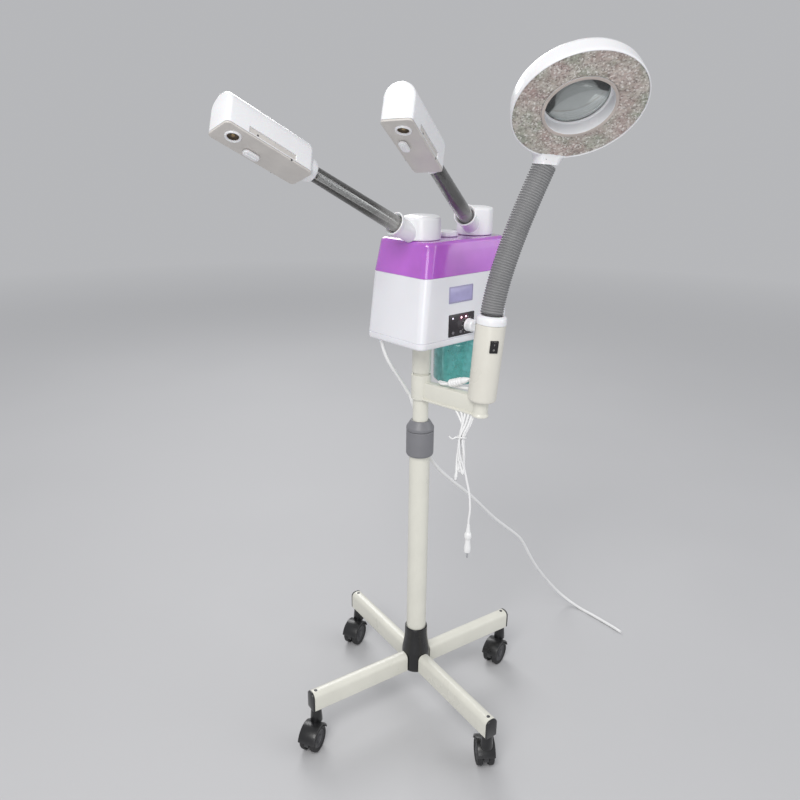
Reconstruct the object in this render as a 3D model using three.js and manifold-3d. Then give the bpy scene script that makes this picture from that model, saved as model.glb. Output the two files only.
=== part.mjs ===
// Facial steamer on a wheeled pole stand, with two steam arms and a magnifier lamp.
//
// Millimetres, +Z up. The control panel faces -Y, and +X is to the right of someone
// facing the panel. Heights below are measured from the floor. The finished object is
// lowered so that its origin is the centre of the base hub's flat underside.

import * as THREE from 'three';
import { mergeVertices } from 'three/addons/utils/BufferGeometryUtils.js';
import Module from 'manifold-3d';

const wasm = await Module();
wasm.setup();

// ---------------------------------------------------------------- driving dimensions

const GAP = 0.3; // clearance between neighbouring pieces

// Base: four legs in a cross, each on a twin-wheel caster.
const LEG_COUNT = 4;
const FIRST_LEG_AZIMUTH = -8.3; // degrees from +X
const LEG_WIDTH = 24;
const LEG_HEIGHT = 38;
const LEG_WALL = 2;
const LEG_BOTTOM = 80;
const LEG_END_RADIUS = 233;
const LEG_TOP_ROUND = 10;
const LEG_BOTTOM_ROUND = 2;
const END_CAP_THICKNESS = 3.5;
const HUB_RADIUS = 27;
const HUB_NECK_RADIUS = 21.8;
const HUB_BOTTOM = 78;
const HUB_TOP = 174;
const HUB_SPIGOT = { from: 22, to: 62, tall: 23 }; // tongue inside each leg

const CASTER_AXIS_RADIUS = 225.6;
const CASTER_YAWS = [200, 120, 35, 150]; // trailing direction of each caster, leg frame
const CASTER_TRAIL = 17;
const WHEEL_RADIUS = 25;
const WHEEL_WIDTH = 11;
const WHEEL_SIDES = 16;
const CASTER_WEB = 10;
const FENDER_RADIUS = 29;
const STEM_RADIUS = 4.8;
const STEM_BOSS_RADIUS = 11;
const AXLE_RADIUS = 3;
const AXLE_BOSS_RADIUS = 8;

// Pole: an outer tube in the hub, and an inner tube that slides in it.
const OUTER_TUBE_RADIUS = 19;
const OUTER_TUBE_WALL = 1.5;
const OUTER_TUBE_BOTTOM = 104;
const OUTER_TUBE_TOP = 585;
const COLLAR_RADIUS = 25;
const COLLAR_BOTTOM = 542;
const COLLAR_SEAM = 590;
const COLLAR_TOP = 609;
const INNER_TUBE_RADIUS = 14.1;
const INNER_TUBE_WALL = 1.4;
const INNER_TUBE_BOTTOM = 330;
const INNER_TUBE_TOP = 748;

// Lamp bracket, clamped round the inner tube.
const SLEEVE_RADIUS = 17;
const SLEEVE_BOTTOM = 652;
const SLEEVE_TOP = 695;
const ARM_WIDTH = 18;
const ARM_BOTTOM = 650;
const ARM_TOP = 682;
const ARM_FLANGE = { lip: 2.5, thick: 3.5 };
const CUP_RADIUS = 12.5;
const CUP_LIP_RADIUS = 14.5;
const CUP_DEPTH = 27;

// Lamp post: a slim canister that leans a little in its cup.
const POST_FOOT = new THREE.Vector3(14.5, -129.8, 676);
const POST_LEAN = 4; // degrees
const POST_LEAN_AZIMUTH = -42;
const POST_RADIUS = 23.8;
const POST_TOP_RADIUS = 24.6;
const POST_HEIGHT = 130;
const POST_CAP_HEIGHT = 15;
const PIN_RADIUS = 7.7;
const SWITCH_AZIMUTH = -118;
const SWITCH_HEIGHT = 98;
const SWITCH_SIZE = { width: 12.6, tall: 18.6, deep: 8.5 };
const SWITCH_TILT = 6;

// Flexible hose from the post to the lamp head.
const HOSE_RADIUS = 18.5;
const HOSE_START = new THREE.Vector3(21, -136.4, 822);
const HOSE_END = new THREE.Vector3(98, -157.5, 1040);
const HOSE_START_HANDLE = new THREE.Vector3(12, 0.5, 68);
const HOSE_END_HANDLE = new THREE.Vector3(25, -13, 64);
const HOSE_PIVOTS = [0.025, 0.36, 0.69]; // shares of the hose's length
const HOSE_PIVOT_GAP = 6;

// Lamp head: a ring housing round a lens. Its face looks down and forward.
const LAMP_CENTRE = new THREE.Vector3(70.6, -236, 1124.2);
const LAMP_BACK = new THREE.Vector3(0.384, 0.579, 0.72).normalize();
const LAMP_TO_NECK = new THREE.Vector3(0.308, 0.654, -0.691);
const LAMP_RADIUS = 97.5;
const LAMP_BORE = 49.5;
const LAMP_BORDER_RADIUS = 57;
const LAMP_DEPTH = 34;
const LAMP_WALL = 2.4;
const NECK_RADIUS = 20;
const NECK_CENTRE = new THREE.Vector3(103.5, -161.5, 1060);

// Steamer casing: a rounded box that narrows upwards.
const CASING = { left: -60, right: 156, front: -60.5, back: 79 };
const CASING_BOTTOM = 756;
const CASING_SKIRT = 768;
const CASING_BORDER = 872.5;
const CASING_TOP = 929;
const CASING_ROUND = 13;
const CASING_WALL = 3;
const TOP_EDGE_ROUND = 7;
const CORNER_STEPS = 3;

const SOCKET_BOTTOM = 699;
const SOCKET_RADIUS = 16.5;
const SOCKET_FLANGE_RADIUS = 21;
const SOCKET_FLANGE_HEIGHT = 14;

const DISPLAY = { left: 1, right: 58, bottom: 827.5, top: 855.5 };
const PANEL = { left: 2, right: 63.5, bottom: 770.6, top: 808.7 };
const PLATE_PROUD = 0.6;
const PLATE_THICKNESS = 4;
const BUTTON_RADIUS = 2.8;
const BUTTON_HEIGHT = 777.4;
const BUTTON_PLACES = { power_button: 12.4, mode_button: 30.5 };
const KNOB_X = 48;
const KNOB_Z = 787;
const KNOB_RADIUS = 11.3;
const KNOB_LENGTH = 15;
const KNOB_SHAFT_RADIUS = 3;

// Water jar, hanging under the casing, and the boiler head it screws into.
const JAR_X = 92;
const JAR_RADIUS = 45;
const JAR_BOTTOM = 667;
const JAR_SHOULDER = 752;
const JAR_NECK_RADIUS = 36;
const JAR_NECK_TOP = 776;
const JAR_WALL = 3;
const JAR_HEAD_RADIUS = 40;
const JAR_HEAD_BOTTOM = 757;
const JAR_HEAD_TOP = 792;

// Steam arms, one on each turret. Everything on an arm lies along its axis.
const TURRET_Y = -10;
const TURRET_RADIUS = 31;
const TURRET_STUB_RADIUS = 14;
const TURRET_STUB_BOTTOM = 915;
const PORT_REACH = 60.7;
const PORT_BELOW_TOP = 11;
const PORT_LENGTH = 42;
const PORT_RADIUS = 18;
const PORT_ROOT_RADIUS = 15;
const ARM_ELEVATION = 27;
const ARM_TUBE_RADIUS = 13;
const ARM_TUBE_END_RADIUS = 11;
const ARM_TUBE_WALL = 2;
const ARMS = {
  left: { x: -15, azimuth: 180, length: 188, twist: 25.5, turretTop: 969 },
  right: { x: 111, azimuth: -153.8, length: 197, twist: 3.7, turretTop: 977 },
};

// Spray head, in its own frame: x along the arm, z up out of its back. Its back is a round arch.
const HEAD_LENGTH = 141;
const HEAD_WIDTH = 42.6;
const HEAD_UNDERSIDE = -20;
const HEAD_TOP = 34.6;
const HEAD_WALL = 2.2;
const HEAD_COVER = 3;
const HEAD_CORNER_ROUND = 6;
const HEAD_NECK_LENGTH = 16;
const HEAD_NECK_RADIUS = 16.4;
const HEAD_NECK_END_RADIUS = 12.8;
const NOZZLE = { x: 118.5, y: 3, radius: 11, bore: 8, drop: 2.5 };
const OIL_CAP = { x: 81.5, y: -8, length: 25, width: 12, drop: 6 };
const OIL_CAP_PLUG = { rise: 5, inset: 2.5 };

const FILLER_CAP = { x: 49, y: -4, radius: 19, top: 938, neck: 13 };

// Cords.
const CORD_RADIUS = 3.3;
const CORD_BUNDLE_RADIUS = 7;
const CORD_PLUG_RADIUS = 6;

// ---------------------------------------------------------------- geometry helpers

/** Drops everything but position and shares vertices, then makes a manifold solid. */
function toSolid(geometry) {
  const bare = geometry.clone();
  bare.deleteAttribute('normal');
  bare.deleteAttribute('uv');
  const merged = mergeVertices(bare);
  const positions = merged.attributes.position.array;
  const triangles = withoutSlivers(merged.index.array);
  const outward = signedVolume(positions, triangles) < 0 ? turnedOver(triangles) : triangles;
  return new wasm.Manifold(
    new wasm.Mesh({
      numProp: 3,
      vertProperties: new Float32Array(positions),
      triVerts: new Uint32Array(outward),
    }),
  );
}

/** Triangles whose three corners are three different vertices. */
function withoutSlivers(indices) {
  const kept = [];
  for (let i = 0; i < indices.length; i += 3) {
    const [a, b, c] = [indices[i], indices[i + 1], indices[i + 2]];
    if (a !== b && b !== c && c !== a) kept.push(a, b, c);
  }
  return kept;
}

function turnedOver(indices) {
  const turned = [];
  for (let i = 0; i < indices.length; i += 3) {
    turned.push(indices[i], indices[i + 2], indices[i + 1]);
  }
  return turned;
}

function signedVolume(positions, indices) {
  const corner = (index) => new THREE.Vector3().fromArray(positions, index * 3);
  let sixfold = 0;
  for (let i = 0; i < indices.length; i += 3) {
    const [a, b, c] = [corner(indices[i]), corner(indices[i + 1]), corner(indices[i + 2])];
    sixfold += a.dot(b.cross(c));
  }
  return sixfold / 6;
}

function toGeometry(solid) {
  const mesh = solid.getMesh();
  const geometry = new THREE.BufferGeometry();
  geometry.setAttribute('position', new THREE.BufferAttribute(mesh.vertProperties, 3));
  geometry.setIndex(new THREE.BufferAttribute(mesh.triVerts, 1));
  geometry.computeVertexNormals();
  return geometry;
}

function join(first, ...others) {
  return toGeometry(others.reduce((whole, next) => whole.add(toSolid(next)), toSolid(first)));
}

function cut(blank, ...tools) {
  return toGeometry(tools.reduce((rest, tool) => rest.subtract(toSolid(tool)), toSolid(blank)));
}

function common(first, second) {
  return toGeometry(toSolid(first).intersect(toSolid(second)));
}

/** Solid of revolution about Z from [radius, height] points; a ring's profile closes itself. */
function revolve(profile, segments = 20) {
  const points = profile.map(([radius, height]) => new THREE.Vector2(radius, height));
  const first = points[0];
  const last = points[points.length - 1];
  if (first.x > 0 || last.x > 0) points.push(first.clone());
  return new THREE.LatheGeometry(points, segments).rotateX(Math.PI / 2);
}

/** A ring between two radii and two heights. */
function ring(inner, outer, bottom, top, segments = 20) {
  return revolve([[inner, bottom], [outer, bottom], [outer, top], [inner, top]], segments);
}

function cylinder(radius, bottom, top, segments = 16) {
  return cone(radius, radius, bottom, top, segments);
}

function cone(bottomRadius, topRadius, bottom, top, segments = 16) {
  return new THREE.CylinderGeometry(topRadius, bottomRadius, top - bottom, segments)
    .rotateX(Math.PI / 2)
    .translate(0, 0, (bottom + top) / 2);
}

/** A box given by its lowest and highest corners. */
function block([x0, y0, z0], [x1, y1, z1]) {
  return new THREE.BoxGeometry(x1 - x0, y1 - y0, z1 - z0)
    .translate((x0 + x1) / 2, (y0 + y1) / 2, (z0 + z1) / 2);
}

/** A flat outline pushed up from one height to another. */
function prism(shape, bottom, top, curveSegments = 2) {
  const settings = { depth: top - bottom, bevelEnabled: false, curveSegments };
  return new THREE.ExtrudeGeometry(shape, settings).translate(0, 0, bottom);
}

/** Turns a prism so that its outline stands across X: outline x to Y, outline y to Z. */
function acrossX(geometry) {
  const basis = new THREE.Matrix4().makeBasis(
    new THREE.Vector3(0, 1, 0), new THREE.Vector3(0, 0, 1), new THREE.Vector3(1, 0, 0),
  );
  return geometry.applyMatrix4(basis);
}

/** Turns a prism so that its outline faces -Y: outline y to Z, depth to +Y, x flipped back. */
function acrossY(geometry) {
  return geometry.rotateX(Math.PI / 2).scale(1, -1, 1);
}

/** A solid round bar along a curve. An arc is split into twice its curveSegments. */
function bar(curve, radius, steps, sides = 8) {
  const circle = new THREE.Shape();
  circle.absarc(0, 0, radius, 0, Math.PI * 2);
  return new THREE.ExtrudeGeometry(circle, {
    extrudePath: curve, steps, curveSegments: sides / 2, bevelEnabled: false,
  });
}

/** Rounded rectangle whose four corners may have two different radii, low-y and high-y. */
function roundedRect(left, right, bottom, top, lowRound, highRound = lowRound) {
  const shape = new THREE.Shape();
  const turn = Math.PI / 2;
  shape.absarc(right - lowRound, bottom + lowRound, lowRound, -turn, 0);
  shape.absarc(right - highRound, top - highRound, highRound, 0, turn);
  shape.absarc(left + highRound, top - highRound, highRound, turn, 2 * turn);
  shape.absarc(left + lowRound, bottom + lowRound, lowRound, 2 * turn, 3 * turn);
  return shape;
}

/** Skins a stack of outlines, each with the same number of points, into a closed solid. */
function loft(levels) {
  const count = levels[0].points.length;
  const positions = [];
  for (const { points, z } of levels) {
    for (const point of points) positions.push(point.x, point.y, z);
  }
  const indices = [];
  for (let level = 0; level + 1 < levels.length; level += 1) {
    for (let i = 0; i < count; i += 1) {
      const here = level * count;
      const next = (i + 1) % count;
      indices.push(here + i, here + next, here + count + i);
      indices.push(here + next, here + count + next, here + count + i);
    }
  }
  const lastLevel = (levels.length - 1) * count;
  for (const [a, b, c] of THREE.ShapeUtils.triangulateShape(levels[0].points, [])) {
    indices.push(a, c, b);
    indices.push(lastLevel + a, lastLevel + b, lastLevel + c);
  }
  const geometry = new THREE.BufferGeometry();
  geometry.setAttribute('position', new THREE.Float32BufferAttribute(positions, 3));
  geometry.setIndex(indices);
  return geometry;
}

function finish(color, roughness, metalness = 0) {
  return { color, roughness, metalness };
}

function part(name, geometry, look) {
  const mesh = new THREE.Mesh(toGeometry(toSolid(geometry)), new THREE.MeshStandardMaterial(look));
  mesh.name = name;
  return mesh;
}

function group(...children) {
  const holder = new THREE.Group();
  holder.add(...children);
  return holder;
}

const radians = THREE.MathUtils.degToRad;

/** Unit vector at an azimuth in the floor plane. */
function heading(azimuth) {
  return new THREE.Vector3(Math.cos(radians(azimuth)), Math.sin(radians(azimuth)), 0);
}

// ---------------------------------------------------------------- finishes

const BLACK_PLASTIC = finish(0x161618, 0.45);
const TYRE_GREY = finish(0x202022, 0.6);
const CREAM_STEEL = finish(0xd8d6c6, 0.4, 0.1);
const GREY_PLASTIC = finish(0x84848a, 0.5);
const NYLON = finish(0xe8e6dc, 0.5);
const CREAM_PLASTIC = finish(0xd6d3c4, 0.45);
const WHITE_PLASTIC = finish(0xf2f1f6, 0.35);
const PURPLE_CLEAR = finish(0xa45cc0, 0.25);
const DISPLAY_BLUE = finish(0xa9a6cf, 0.2);
const PANEL_BLACK = finish(0x120d12, 0.25);
const BUTTON_GREY = finish(0x6a6670, 0.4);
const JAR_TEAL = finish(0x2fa79a, 0.1);
const STEEL = finish(0xb9bcc0, 0.3, 0.9);
const BOARD_GREEN = finish(0x1f5a36, 0.5);
const SILICONE = finish(0xdedbd2, 0.6);
const CLEAR_GLASS = finish(0xc9d2d0, 0.05);
const HOSE_GREY = finish(0x86868a, 0.6);
const DIFFUSER = finish(0xd9d2cc, 0.2);
const CORD_WHITE = finish(0xe9e9ea, 0.5);

// ---------------------------------------------------------------- base and casters

function legOutline(inset) {
  const half = LEG_WIDTH / 2 - inset;
  const top = LEG_BOTTOM + LEG_HEIGHT - inset;
  const lowRound = Math.max(LEG_BOTTOM_ROUND - inset, 0.5);
  return roundedRect(-half, half, LEG_BOTTOM + inset, top, lowRound, LEG_TOP_ROUND - inset);
}

function legTube() {
  const start = HUB_RADIUS + GAP;
  const outside = acrossX(prism(legOutline(0), start, LEG_END_RADIUS, 1));
  const inside = acrossX(prism(legOutline(LEG_WALL), start - 1, LEG_END_RADIUS + 1, 1));
  const stemHole = cylinder(STEM_RADIUS + 0.5, LEG_BOTTOM - 5, LEG_BOTTOM + LEG_HEIGHT + 5, 12)
    .translate(CASTER_AXIS_RADIUS, 0, 0);
  return cut(outside, inside, stemHole);
}

function legEndCap() {
  const start = LEG_END_RADIUS + GAP;
  return acrossX(prism(legOutline(0), start, start + END_CAP_THICKNESS, 1));
}

/** Socket for the pole, with one spigot inside each leg. */
function baseHub() {
  const bore = OUTER_TUBE_RADIUS + GAP;
  const bodyProfile = [
    [0, HUB_BOTTOM], [HUB_RADIUS - 2, HUB_BOTTOM], [HUB_RADIUS, HUB_BOTTOM + 3],
    [HUB_RADIUS, LEG_BOTTOM + LEG_HEIGHT + 3], [HUB_NECK_RADIUS + 1.5, HUB_TOP - 34],
    [HUB_NECK_RADIUS, HUB_TOP - 22], [HUB_NECK_RADIUS, HUB_TOP],
    [bore, HUB_TOP], [bore, OUTER_TUBE_BOTTOM - 2], [0, OUTER_TUBE_BOTTOM - 2],
  ];
  const spigotHalf = LEG_WIDTH / 2 - LEG_WALL - 0.4;
  const spigotLow = LEG_BOTTOM + LEG_WALL + 1;
  const spigots = [];
  for (let i = 0; i < LEG_COUNT; i += 1) {
    const spigot = block(
      [HUB_SPIGOT.from, -spigotHalf, spigotLow],
      [HUB_SPIGOT.to, spigotHalf, spigotLow + HUB_SPIGOT.tall],
    );
    spigots.push(spigot.rotateZ(radians(FIRST_LEG_AZIMUTH + 90 * i)));
  }
  return join(revolve(bodyProfile), ...spigots);
}

/** Hood, web and stem in one moulding. Its frame has the stem on Z and trails along +X. */
function casterHood() {
  const arch = new THREE.Shape();
  const reach = radians(165);
  arch.absarc(0, 0, FENDER_RADIUS, radians(10), reach);
  arch.absarc(0, 0, WHEEL_RADIUS + 1.2, reach, radians(10), true);
  const web = new THREE.Shape();
  web.absarc(0, 0, WHEEL_RADIUS + 2, radians(-5), radians(185));
  const archHalf = CASTER_WEB / 2 + WHEEL_WIDTH + 0.5;
  const webHalf = CASTER_WEB / 2 - 0.6;
  const boss = cylinder(AXLE_BOSS_RADIUS, -webHalf, webHalf, 12).rotateX(Math.PI / 2);
  const fender = acrossY(prism(arch, -archHalf, archHalf, 5));
  const middle = acrossY(prism(web, -webHalf, webHalf, 6));
  const axleHole = cylinder(AXLE_RADIUS + GAP, -20, 20, 12).rotateX(Math.PI / 2);
  const overAxle = cut(join(fender, middle, boss), axleHole)
    .translate(CASTER_TRAIL, 0, WHEEL_RADIUS);
  const stemBoss = cylinder(STEM_BOSS_RADIUS, 2 * WHEEL_RADIUS + 1.5, LEG_BOTTOM - GAP, 12);
  const stem = cylinder(STEM_RADIUS, LEG_BOTTOM - 2, LEG_BOTTOM + LEG_HEIGHT - 7, 12);
  return join(overAxle, stemBoss, stem);
}

/** Two tyres on one axle, each standing on a flat of its tread. Its frame is the hood's. */
function casterWheels() {
  const inner = CASTER_WEB / 2;
  const outer = inner + WHEEL_WIDTH;
  const halfSide = Math.PI / WHEEL_SIDES;
  const tread = WHEEL_RADIUS / Math.cos(halfSide);
  const profile = [
    [0, inner], [tread - 1.5, inner], [tread, inner + 2],
    [tread, outer - 3], [tread - 3, outer], [0, outer],
  ];
  const wheel = revolve(profile, WHEEL_SIDES).rotateZ(halfSide);
  const otherWheel = wheel.clone().rotateX(Math.PI);
  const axle = cylinder(AXLE_RADIUS, -inner - 1, inner + 1, 8);
  return join(wheel, otherWheel, axle)
    .rotateX(Math.PI / 2)
    .translate(CASTER_TRAIL, 0, WHEEL_RADIUS);
}

function legWithCaster(number) {
  const caster = group(
    part(`caster_hood_${number}`, casterHood(), BLACK_PLASTIC),
    part(`caster_wheels_${number}`, casterWheels(), TYRE_GREY),
  );
  caster.position.x = CASTER_AXIS_RADIUS;
  caster.rotation.z = radians(CASTER_YAWS[number - 1]);
  const leg = group(
    part(`leg_${number}`, legTube(), CREAM_STEEL),
    part(`leg_end_cap_${number}`, legEndCap(), BLACK_PLASTIC),
    caster,
  );
  leg.rotation.z = radians(FIRST_LEG_AZIMUTH + 90 * (number - 1));
  return leg;
}

function base() {
  const legs = [];
  for (let number = 1; number <= LEG_COUNT; number += 1) legs.push(legWithCaster(number));
  return group(part('base_hub', baseHub(), BLACK_PLASTIC), ...legs);
}

// ---------------------------------------------------------------- telescopic pole

function collarSleeve() {
  const bore = OUTER_TUBE_RADIUS + GAP;
  return revolve([
    [bore, COLLAR_BOTTOM], [bore + 1.2, COLLAR_BOTTOM], [COLLAR_RADIUS, COLLAR_BOTTOM + 20],
    [COLLAR_RADIUS, COLLAR_SEAM], [bore, COLLAR_SEAM],
  ]);
}

function collarNut() {
  const seam = COLLAR_SEAM + GAP;
  const wideBore = OUTER_TUBE_RADIUS + GAP;
  const narrowBore = INNER_TUBE_RADIUS + 0.4;
  return revolve([
    [wideBore, seam], [COLLAR_RADIUS, seam], [COLLAR_RADIUS, seam + 5.5],
    [narrowBore + 2, COLLAR_TOP], [narrowBore, COLLAR_TOP], [narrowBore, seam + 10],
    [wideBore, seam + 7],
  ]);
}

/** Nylon bush with a flange, which centres the inner tube in the outer one. */
function collarBush() {
  const bore = INNER_TUBE_RADIUS + GAP;
  const outside = OUTER_TUBE_RADIUS - OUTER_TUBE_WALL - GAP;
  const seat = OUTER_TUBE_TOP + GAP;
  const flange = OUTER_TUBE_RADIUS - 0.1;
  return revolve([
    [bore, OUTER_TUBE_TOP - 30], [outside, OUTER_TUBE_TOP - 30], [outside, seat],
    [flange, seat], [flange, COLLAR_SEAM - 0.2], [bore, COLLAR_SEAM - 0.2],
  ]);
}

function pole() {
  const outer = ring(
    OUTER_TUBE_RADIUS - OUTER_TUBE_WALL, OUTER_TUBE_RADIUS, OUTER_TUBE_BOTTOM, OUTER_TUBE_TOP,
  );
  const inner = ring(
    INNER_TUBE_RADIUS - INNER_TUBE_WALL, INNER_TUBE_RADIUS, INNER_TUBE_BOTTOM, INNER_TUBE_TOP,
  );
  return group(
    part('outer_tube', outer, CREAM_STEEL),
    part('collar_sleeve', collarSleeve(), GREY_PLASTIC),
    part('collar_nut', collarNut(), GREY_PLASTIC),
    part('collar_bush', collarBush(), NYLON),
    part('inner_tube', inner, CREAM_STEEL),
  );
}

// ---------------------------------------------------------------- lamp bracket and post

/** The lamp's own frame: origin at the post's foot, z up the leaning post. */
function postFrame() {
  const lean = heading(POST_LEAN_AZIMUTH).multiplyScalar(Math.sin(radians(POST_LEAN)));
  const up = new THREE.Vector3(lean.x, lean.y, Math.cos(radians(POST_LEAN)));
  const turn = new THREE.Quaternion().setFromUnitVectors(new THREE.Vector3(0, 0, 1), up);
  return new THREE.Matrix4().compose(POST_FOOT, turn, new THREE.Vector3(1, 1, 1));
}

function lampBracket() {
  const armAzimuth = Math.atan2(POST_FOOT.y, POST_FOOT.x);
  const reach = Math.hypot(POST_FOOT.x, POST_FOOT.y);
  const half = ARM_WIDTH / 2;
  const root = SLEEVE_RADIUS / 2;
  const web = block([root, -half, ARM_BOTTOM + 1], [reach - 4, half, ARM_TOP]);
  const flange = block(
    [root, -half - ARM_FLANGE.lip, ARM_BOTTOM],
    [reach, half + ARM_FLANGE.lip, ARM_BOTTOM + ARM_FLANGE.thick],
  );
  const arm = join(web, flange).rotateZ(armAzimuth);
  const sleeve = cylinder(SLEEVE_RADIUS, SLEEVE_BOTTOM - 2, SLEEVE_TOP);
  const cup = revolve([
    [0, -CUP_DEPTH], [CUP_LIP_RADIUS, -CUP_DEPTH], [CUP_LIP_RADIUS, 3 - CUP_DEPTH],
    [CUP_RADIUS, 5 - CUP_DEPTH], [CUP_RADIUS, -1], [0, -1],
  ], 18).applyMatrix4(postFrame());
  const cupBore = cylinder(PIN_RADIUS + 0.4, -CUP_DEPTH - 10, 5).applyMatrix4(postFrame());
  const overPost = cylinder(POST_RADIUS + 2, -1, 40).applyMatrix4(postFrame());
  const tubeBore = cylinder(INNER_TUBE_RADIUS + GAP, SLEEVE_BOTTOM - 20, SLEEVE_TOP + 20, 24);
  return cut(join(arm, sleeve, cup), cupBore, tubeBore, overPost);
}

/** Canister with the pivot pin under it, and a window for the switch. */
function lampPost() {
  const wall = 2.4;
  const wireBore = 4.5;
  const shell = revolve([
    [wireBore, 1 - CUP_DEPTH], [PIN_RADIUS, 1 - CUP_DEPTH], [PIN_RADIUS, 0],
    [POST_RADIUS - 3.5, 0], [POST_RADIUS, 3.5], [POST_TOP_RADIUS, POST_HEIGHT],
    [POST_TOP_RADIUS - wall, POST_HEIGHT], [POST_RADIUS - wall, 6], [wireBore, 6],
  ]);
  return cut(shell, switchWindow());
}

/** The switch's place: x out of the post, z up, origin on the post's surface. */
function atSwitch(geometry) {
  return geometry
    .translate(POST_RADIUS + 0.6, 0, SWITCH_HEIGHT)
    .rotateZ(radians(SWITCH_AZIMUTH));
}

function switchWindow() {
  const half = SWITCH_SIZE.width / 2 + 0.4;
  const tall = SWITCH_SIZE.tall / 2 + 1.1;
  return atSwitch(block([-10, -half, -tall], [6, half, tall]));
}

/** Rocker, resting tilted to its off side. */
function rockerSwitch() {
  const { width, tall, deep } = SWITCH_SIZE;
  const face = new THREE.Shape();
  face.moveTo(-deep + 1.2, -tall / 2);
  face.lineTo(1.2, -tall / 2);
  face.lineTo(0.4, 0);
  face.lineTo(1.2, tall / 2);
  face.lineTo(-deep + 1.2, tall / 2);
  face.closePath();
  const rocker = acrossY(prism(face, -width / 2, width / 2));
  rocker.translate(3.5, 0, 0).rotateY(radians(SWITCH_TILT)).translate(-3.5, 0, 0);
  return atSwitch(rocker);
}

function postCap() {
  const wireHole = 8;
  const bottom = POST_HEIGHT + GAP;
  const top = POST_HEIGHT + POST_CAP_HEIGHT;
  const side = POST_TOP_RADIUS + 0.3;
  return revolve([
    [wireHole, bottom], [side, bottom], [side, top - 7], [side - 1.4, top - 2.5],
    [side - 5, top], [wireHole, top],
  ]);
}

function lampStand() {
  const post = group(
    part('lamp_post', lampPost(), CREAM_PLASTIC),
    part('post_cap', postCap(), WHITE_PLASTIC),
    part('rocker_switch', rockerSwitch(), PANEL_BLACK),
  );
  post.applyMatrix4(postFrame());
  return group(part('lamp_bracket', lampBracket(), CREAM_STEEL), post);
}

// ---------------------------------------------------------------- hose and lamp head

const hoseCurve = new THREE.CubicBezierCurve3(
  HOSE_START,
  HOSE_START.clone().add(HOSE_START_HANDLE),
  HOSE_END.clone().sub(HOSE_END_HANDLE),
  HOSE_END,
);

/** The stretch of hose between two shares of its length. */
function hoseStretch(from, to) {
  const count = 5;
  const points = [];
  for (let i = 0; i < count; i += 1) {
    points.push(hoseCurve.getPointAt(from + ((to - from) * i) / (count - 1)));
  }
  return bar(new THREE.CatmullRomCurve3(points), HOSE_RADIUS, 5, 16);
}

/** The hose as three rigid stretches, with room to bend at each pivot. */
function hose() {
  const names = ['hose_lower', 'hose_middle', 'hose_upper'];
  const halfGap = HOSE_PIVOT_GAP / 2 / hoseCurve.getLength();
  return names.map((name, i) => {
    const from = HOSE_PIVOTS[i] + halfGap;
    const to = i + 1 < names.length ? HOSE_PIVOTS[i + 1] - halfGap : 1;
    return part(name, hoseStretch(from, to), HOSE_GREY);
  });
}

/** The lamp head's frame: z out of its back, x towards the neck. */
function lampFrame() {
  const z = LAMP_BACK.clone();
  const x = LAMP_TO_NECK.clone().addScaledVector(z, -LAMP_TO_NECK.dot(z)).normalize();
  const y = z.clone().cross(x);
  return new THREE.Matrix4().makeBasis(x, y, z).setPosition(LAMP_CENTRE);
}

/** Ring channel, open at the face for the light, with a bore for the lens. */
function lampHousing() {
  const outerWall = LAMP_RADIUS - LAMP_WALL;
  const floor = LAMP_DEPTH - LAMP_WALL;
  return revolve([
    [LAMP_BORE, 0], [LAMP_BORDER_RADIUS, 0], [LAMP_BORDER_RADIUS, floor],
    [outerWall - 16, floor], [outerWall - 6, floor - 4], [outerWall - 3, floor - 10],
    [outerWall, 5], [outerWall, 0], [LAMP_RADIUS - 0.5, 0], [LAMP_RADIUS, 3],
    [LAMP_RADIUS - 3, LAMP_DEPTH - 10], [LAMP_RADIUS - 6, LAMP_DEPTH - 4],
    [LAMP_RADIUS - 15, LAMP_DEPTH], [LAMP_BORE + 4, LAMP_DEPTH], [LAMP_BORE, LAMP_DEPTH - 3],
  ], 28);
}

function lampDiffuser() {
  const outer = LAMP_RADIUS - LAMP_WALL - GAP;
  return ring(LAMP_BORDER_RADIUS + GAP, outer, 0.8, 3.8, 28);
}

function magnifierLens() {
  const rim = LAMP_BORE - 0.4;
  return revolve([
    [0, 15.5], [rim * 0.55, 17], [rim, 20], [rim, 23], [rim * 0.55, 26], [0, 27.5],
  ], 28);
}

/** Collar that grips the hose's end and carries the housing on its rim. */
function lampNeck() {
  const axis = hoseCurve.getTangentAt(1);
  const turn = new THREE.Quaternion().setFromUnitVectors(new THREE.Vector3(0, 0, 1), axis);
  const run = NECK_CENTRE.clone().sub(HOSE_END).dot(axis);
  const collar = cylinder(NECK_RADIUS, GAP, run, 18)
    .applyQuaternion(turn)
    .translate(HOSE_END.x, HOSE_END.y, HOSE_END.z);
  const knuckle = new THREE.SphereGeometry(NECK_RADIUS, 18, 10)
    .translate(NECK_CENTRE.x, NECK_CENTRE.y, NECK_CENTRE.z);
  const room = cylinder(LAMP_RADIUS + 2 * GAP, -60, 60, 48).applyMatrix4(lampFrame());
  return cut(join(collar, knuckle), room);
}

function lampHead() {
  const head = group(
    part('lamp_housing', lampHousing(), WHITE_PLASTIC),
    part('lamp_diffuser', lampDiffuser(), DIFFUSER),
    part('magnifier_lens', magnifierLens(), CLEAR_GLASS),
  );
  head.applyMatrix4(lampFrame());
  return group(part('lamp_neck', lampNeck(), WHITE_PLASTIC), head);
}

// ---------------------------------------------------------------- steamer casing

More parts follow.
